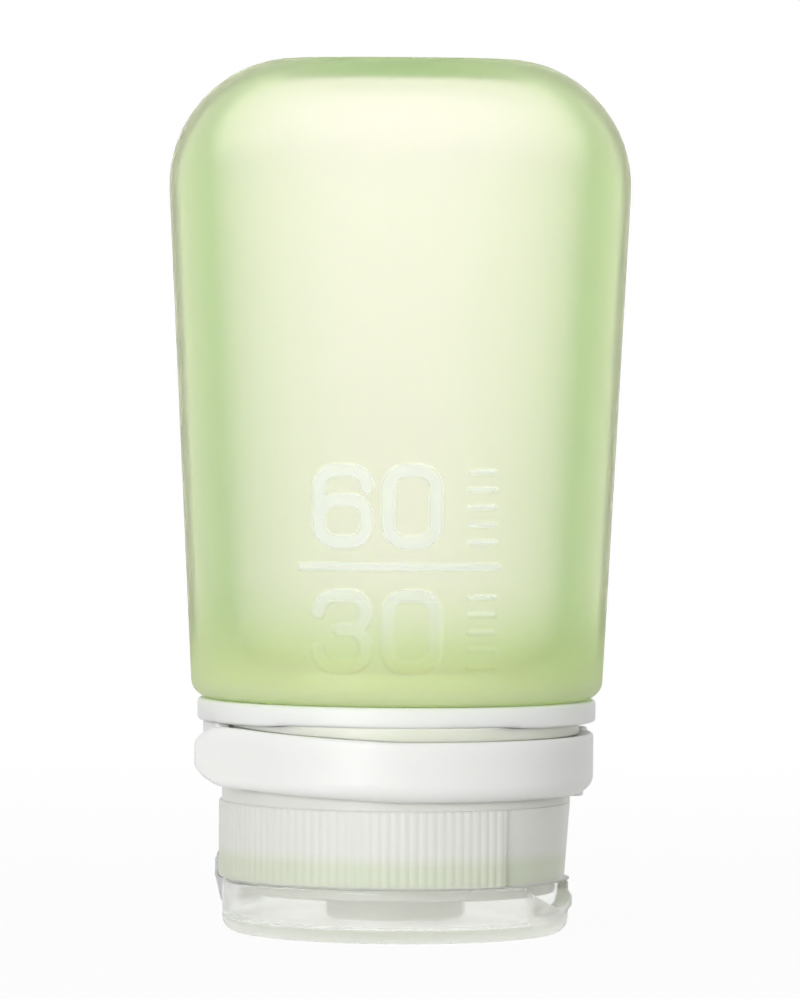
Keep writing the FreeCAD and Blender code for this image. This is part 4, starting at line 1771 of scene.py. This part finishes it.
@dataclass
class Studio:
    """The pale floor, white surroundings, soft lamps and the camera, all in metres."""

    aim: Triple = (0.0002, 0.0, 0.04492)
    camera_place: Triple = (0.0002, -0.885, 0.076)
    focal: float = 307.0
    roll: float = 0.42
    clip_start: float = 0.01
    floor_radius: float = 6.0
    floor_sides: int = 64
    fade_radius: float = 0.35
    floor_colour: Colour = (0.85, 0.85, 0.845, 1.0)
    ambient: float = 0.64
    front_level: float = 0.7
    front_fade: Pair = (0.2, 0.92)
    near_white: float = 0.95
    lamps: tuple[Lamp, ...] = (
        Lamp("key_lamp", (-0.45, -1.05, 0.14), 0.5, 8.5),
        Lamp("fill_lamp", (0.7, -0.6, 0.35), 0.6, 0.8),
    )

    def rays(self, shader: Shader) -> tuple[Value, Value]:
        """What kind of ray meets the surroundings.

        Args:
            shader: The shader that asks.

        Returns:
            1 for what the camera sees straight, and 1 for what it sees in a reflection or through
            clear plastic, else 0.
        """
        path = shader.node("ShaderNodeLightPath", {}, {})
        camera, glossy, through = (
            Value(shader, path.outputs[name])
            for name in ("Is Camera Ray", "Is Glossy Ray", "Is Transmission Ray")
        )
        return camera, glossy + through

    def world(self) -> None:
        """Makes the surroundings white to look at, and as a light dimmer, above all in front."""
        world = bpy.data.worlds.new("studio_world")
        bpy.context.scene.world = world
        shader = Shader(world)
        direction = shader.node("ShaderNodeTexCoord", {}, {}).outputs["Generated"]
        away = shader.value("ShaderNodeSeparateXYZ", {}, {0: direction}, "Y")
        behind = shader.smooth(away, *self.front_fade)
        level = self.front_level + (1 - self.front_level) * behind
        camera, other = self.rays(shader)
        strength = camera + (1 - camera) * level * (self.ambient + (1 - self.ambient) * other)
        sky = shader.node("ShaderNodeBackground", {}, {"Color": WHITE, "Strength": strength})
        shader.node("ShaderNodeOutputWorld", {}, {"Surface": sky.outputs[0]})

    def floor(self) -> None:
        """Makes the floor: pale, with the bottle's shadow near it, and white further out."""
        material = bpy.data.materials.new("studio_floor")
        shader = Shader(material)
        length = {"operation": "LENGTH"}
        reach = shader.value("ShaderNodeVectorMath", length, {0: shader.place()}, "Value")
        far = shader.smooth(reach, 0.0, self.fade_radius)
        matte = shader.node("ShaderNodeBsdfDiffuse", {}, {"Color": self.floor_colour})
        glow = shader.node("ShaderNodeEmission", {}, {"Color": WHITE, "Strength": 1.0})
        camera, other = self.rays(shader)
        share = (camera + other) * (self.near_white + (1 - self.near_white) * far)
        shader.end(Surface=shader.mixed(share, matte.outputs[0], glow.outputs[0]))
        mesh = bpy.data.meshes.new("studio_floor")
        rim = turned(np.array([[self.floor_radius, 0.0]]), all_round(self.floor_sides))[0]
        mesh.from_pydata(rim, [], [range(len(rim))])
        mesh.materials.append(material)
        new_object("studio_floor", mesh)

    def facing(self, place: Triple) -> Quaternion:
        """The turn that points a lamp or the camera from its place to the bottle."""
        return (Vector(self.aim) - Vector(place)).to_track_quat("-Z", "Y")

    def light(self) -> None:
        """Hangs the lamps, each turned to the bottle."""
        for lamp in self.lamps:
            light = bpy.data.lights.new(lamp.name, "AREA")
            light.size = lamp.side
            light.energy = lamp.watts
            hung = new_object(lamp.name, light)
            hung.location = lamp.place
            hung.rotation_euler = self.facing(lamp.place).to_euler()

    def camera(self) -> None:
        """Sets the camera where the photograph's stood, with the photograph's slight roll."""
        view = bpy.data.cameras.new("photo_camera")
        view.lens = self.focal
        view.clip_start = self.clip_start
        camera = new_object("photo_camera", view)
        look = self.facing(self.camera_place).to_matrix()
        roll = Matrix.Rotation(math.radians(self.roll), 3, "Z")
        camera.matrix_world = Matrix.Translation(self.camera_place) @ (look @ roll).to_4x4()
        bpy.context.scene.camera = camera

    def build(self) -> None:
        """Sets up everything round the bottle."""
        bpy.context.scene.view_settings.view_transform = "Standard"
        self.world()
        self.floor()
        self.light()
        self.camera()


def main() -> None:
    """Builds the bottle's sub-assemblies in order, then the studio."""
    logging.basicConfig(level=logging.INFO, format="%(message)s")
    white = SatinWhite().material()
    milky = MILKY_CAP.material()
    clear = CLEAR_LID.material()
    SqueezeBody().build()
    Collar().build(white)
    HangingLoop().build(white)
    ScrewCap().build(milky)
    DripValve().build(milky)
    FlipLid().build(clear)
    Studio().build()


if __name__ == "__main__":
    main()
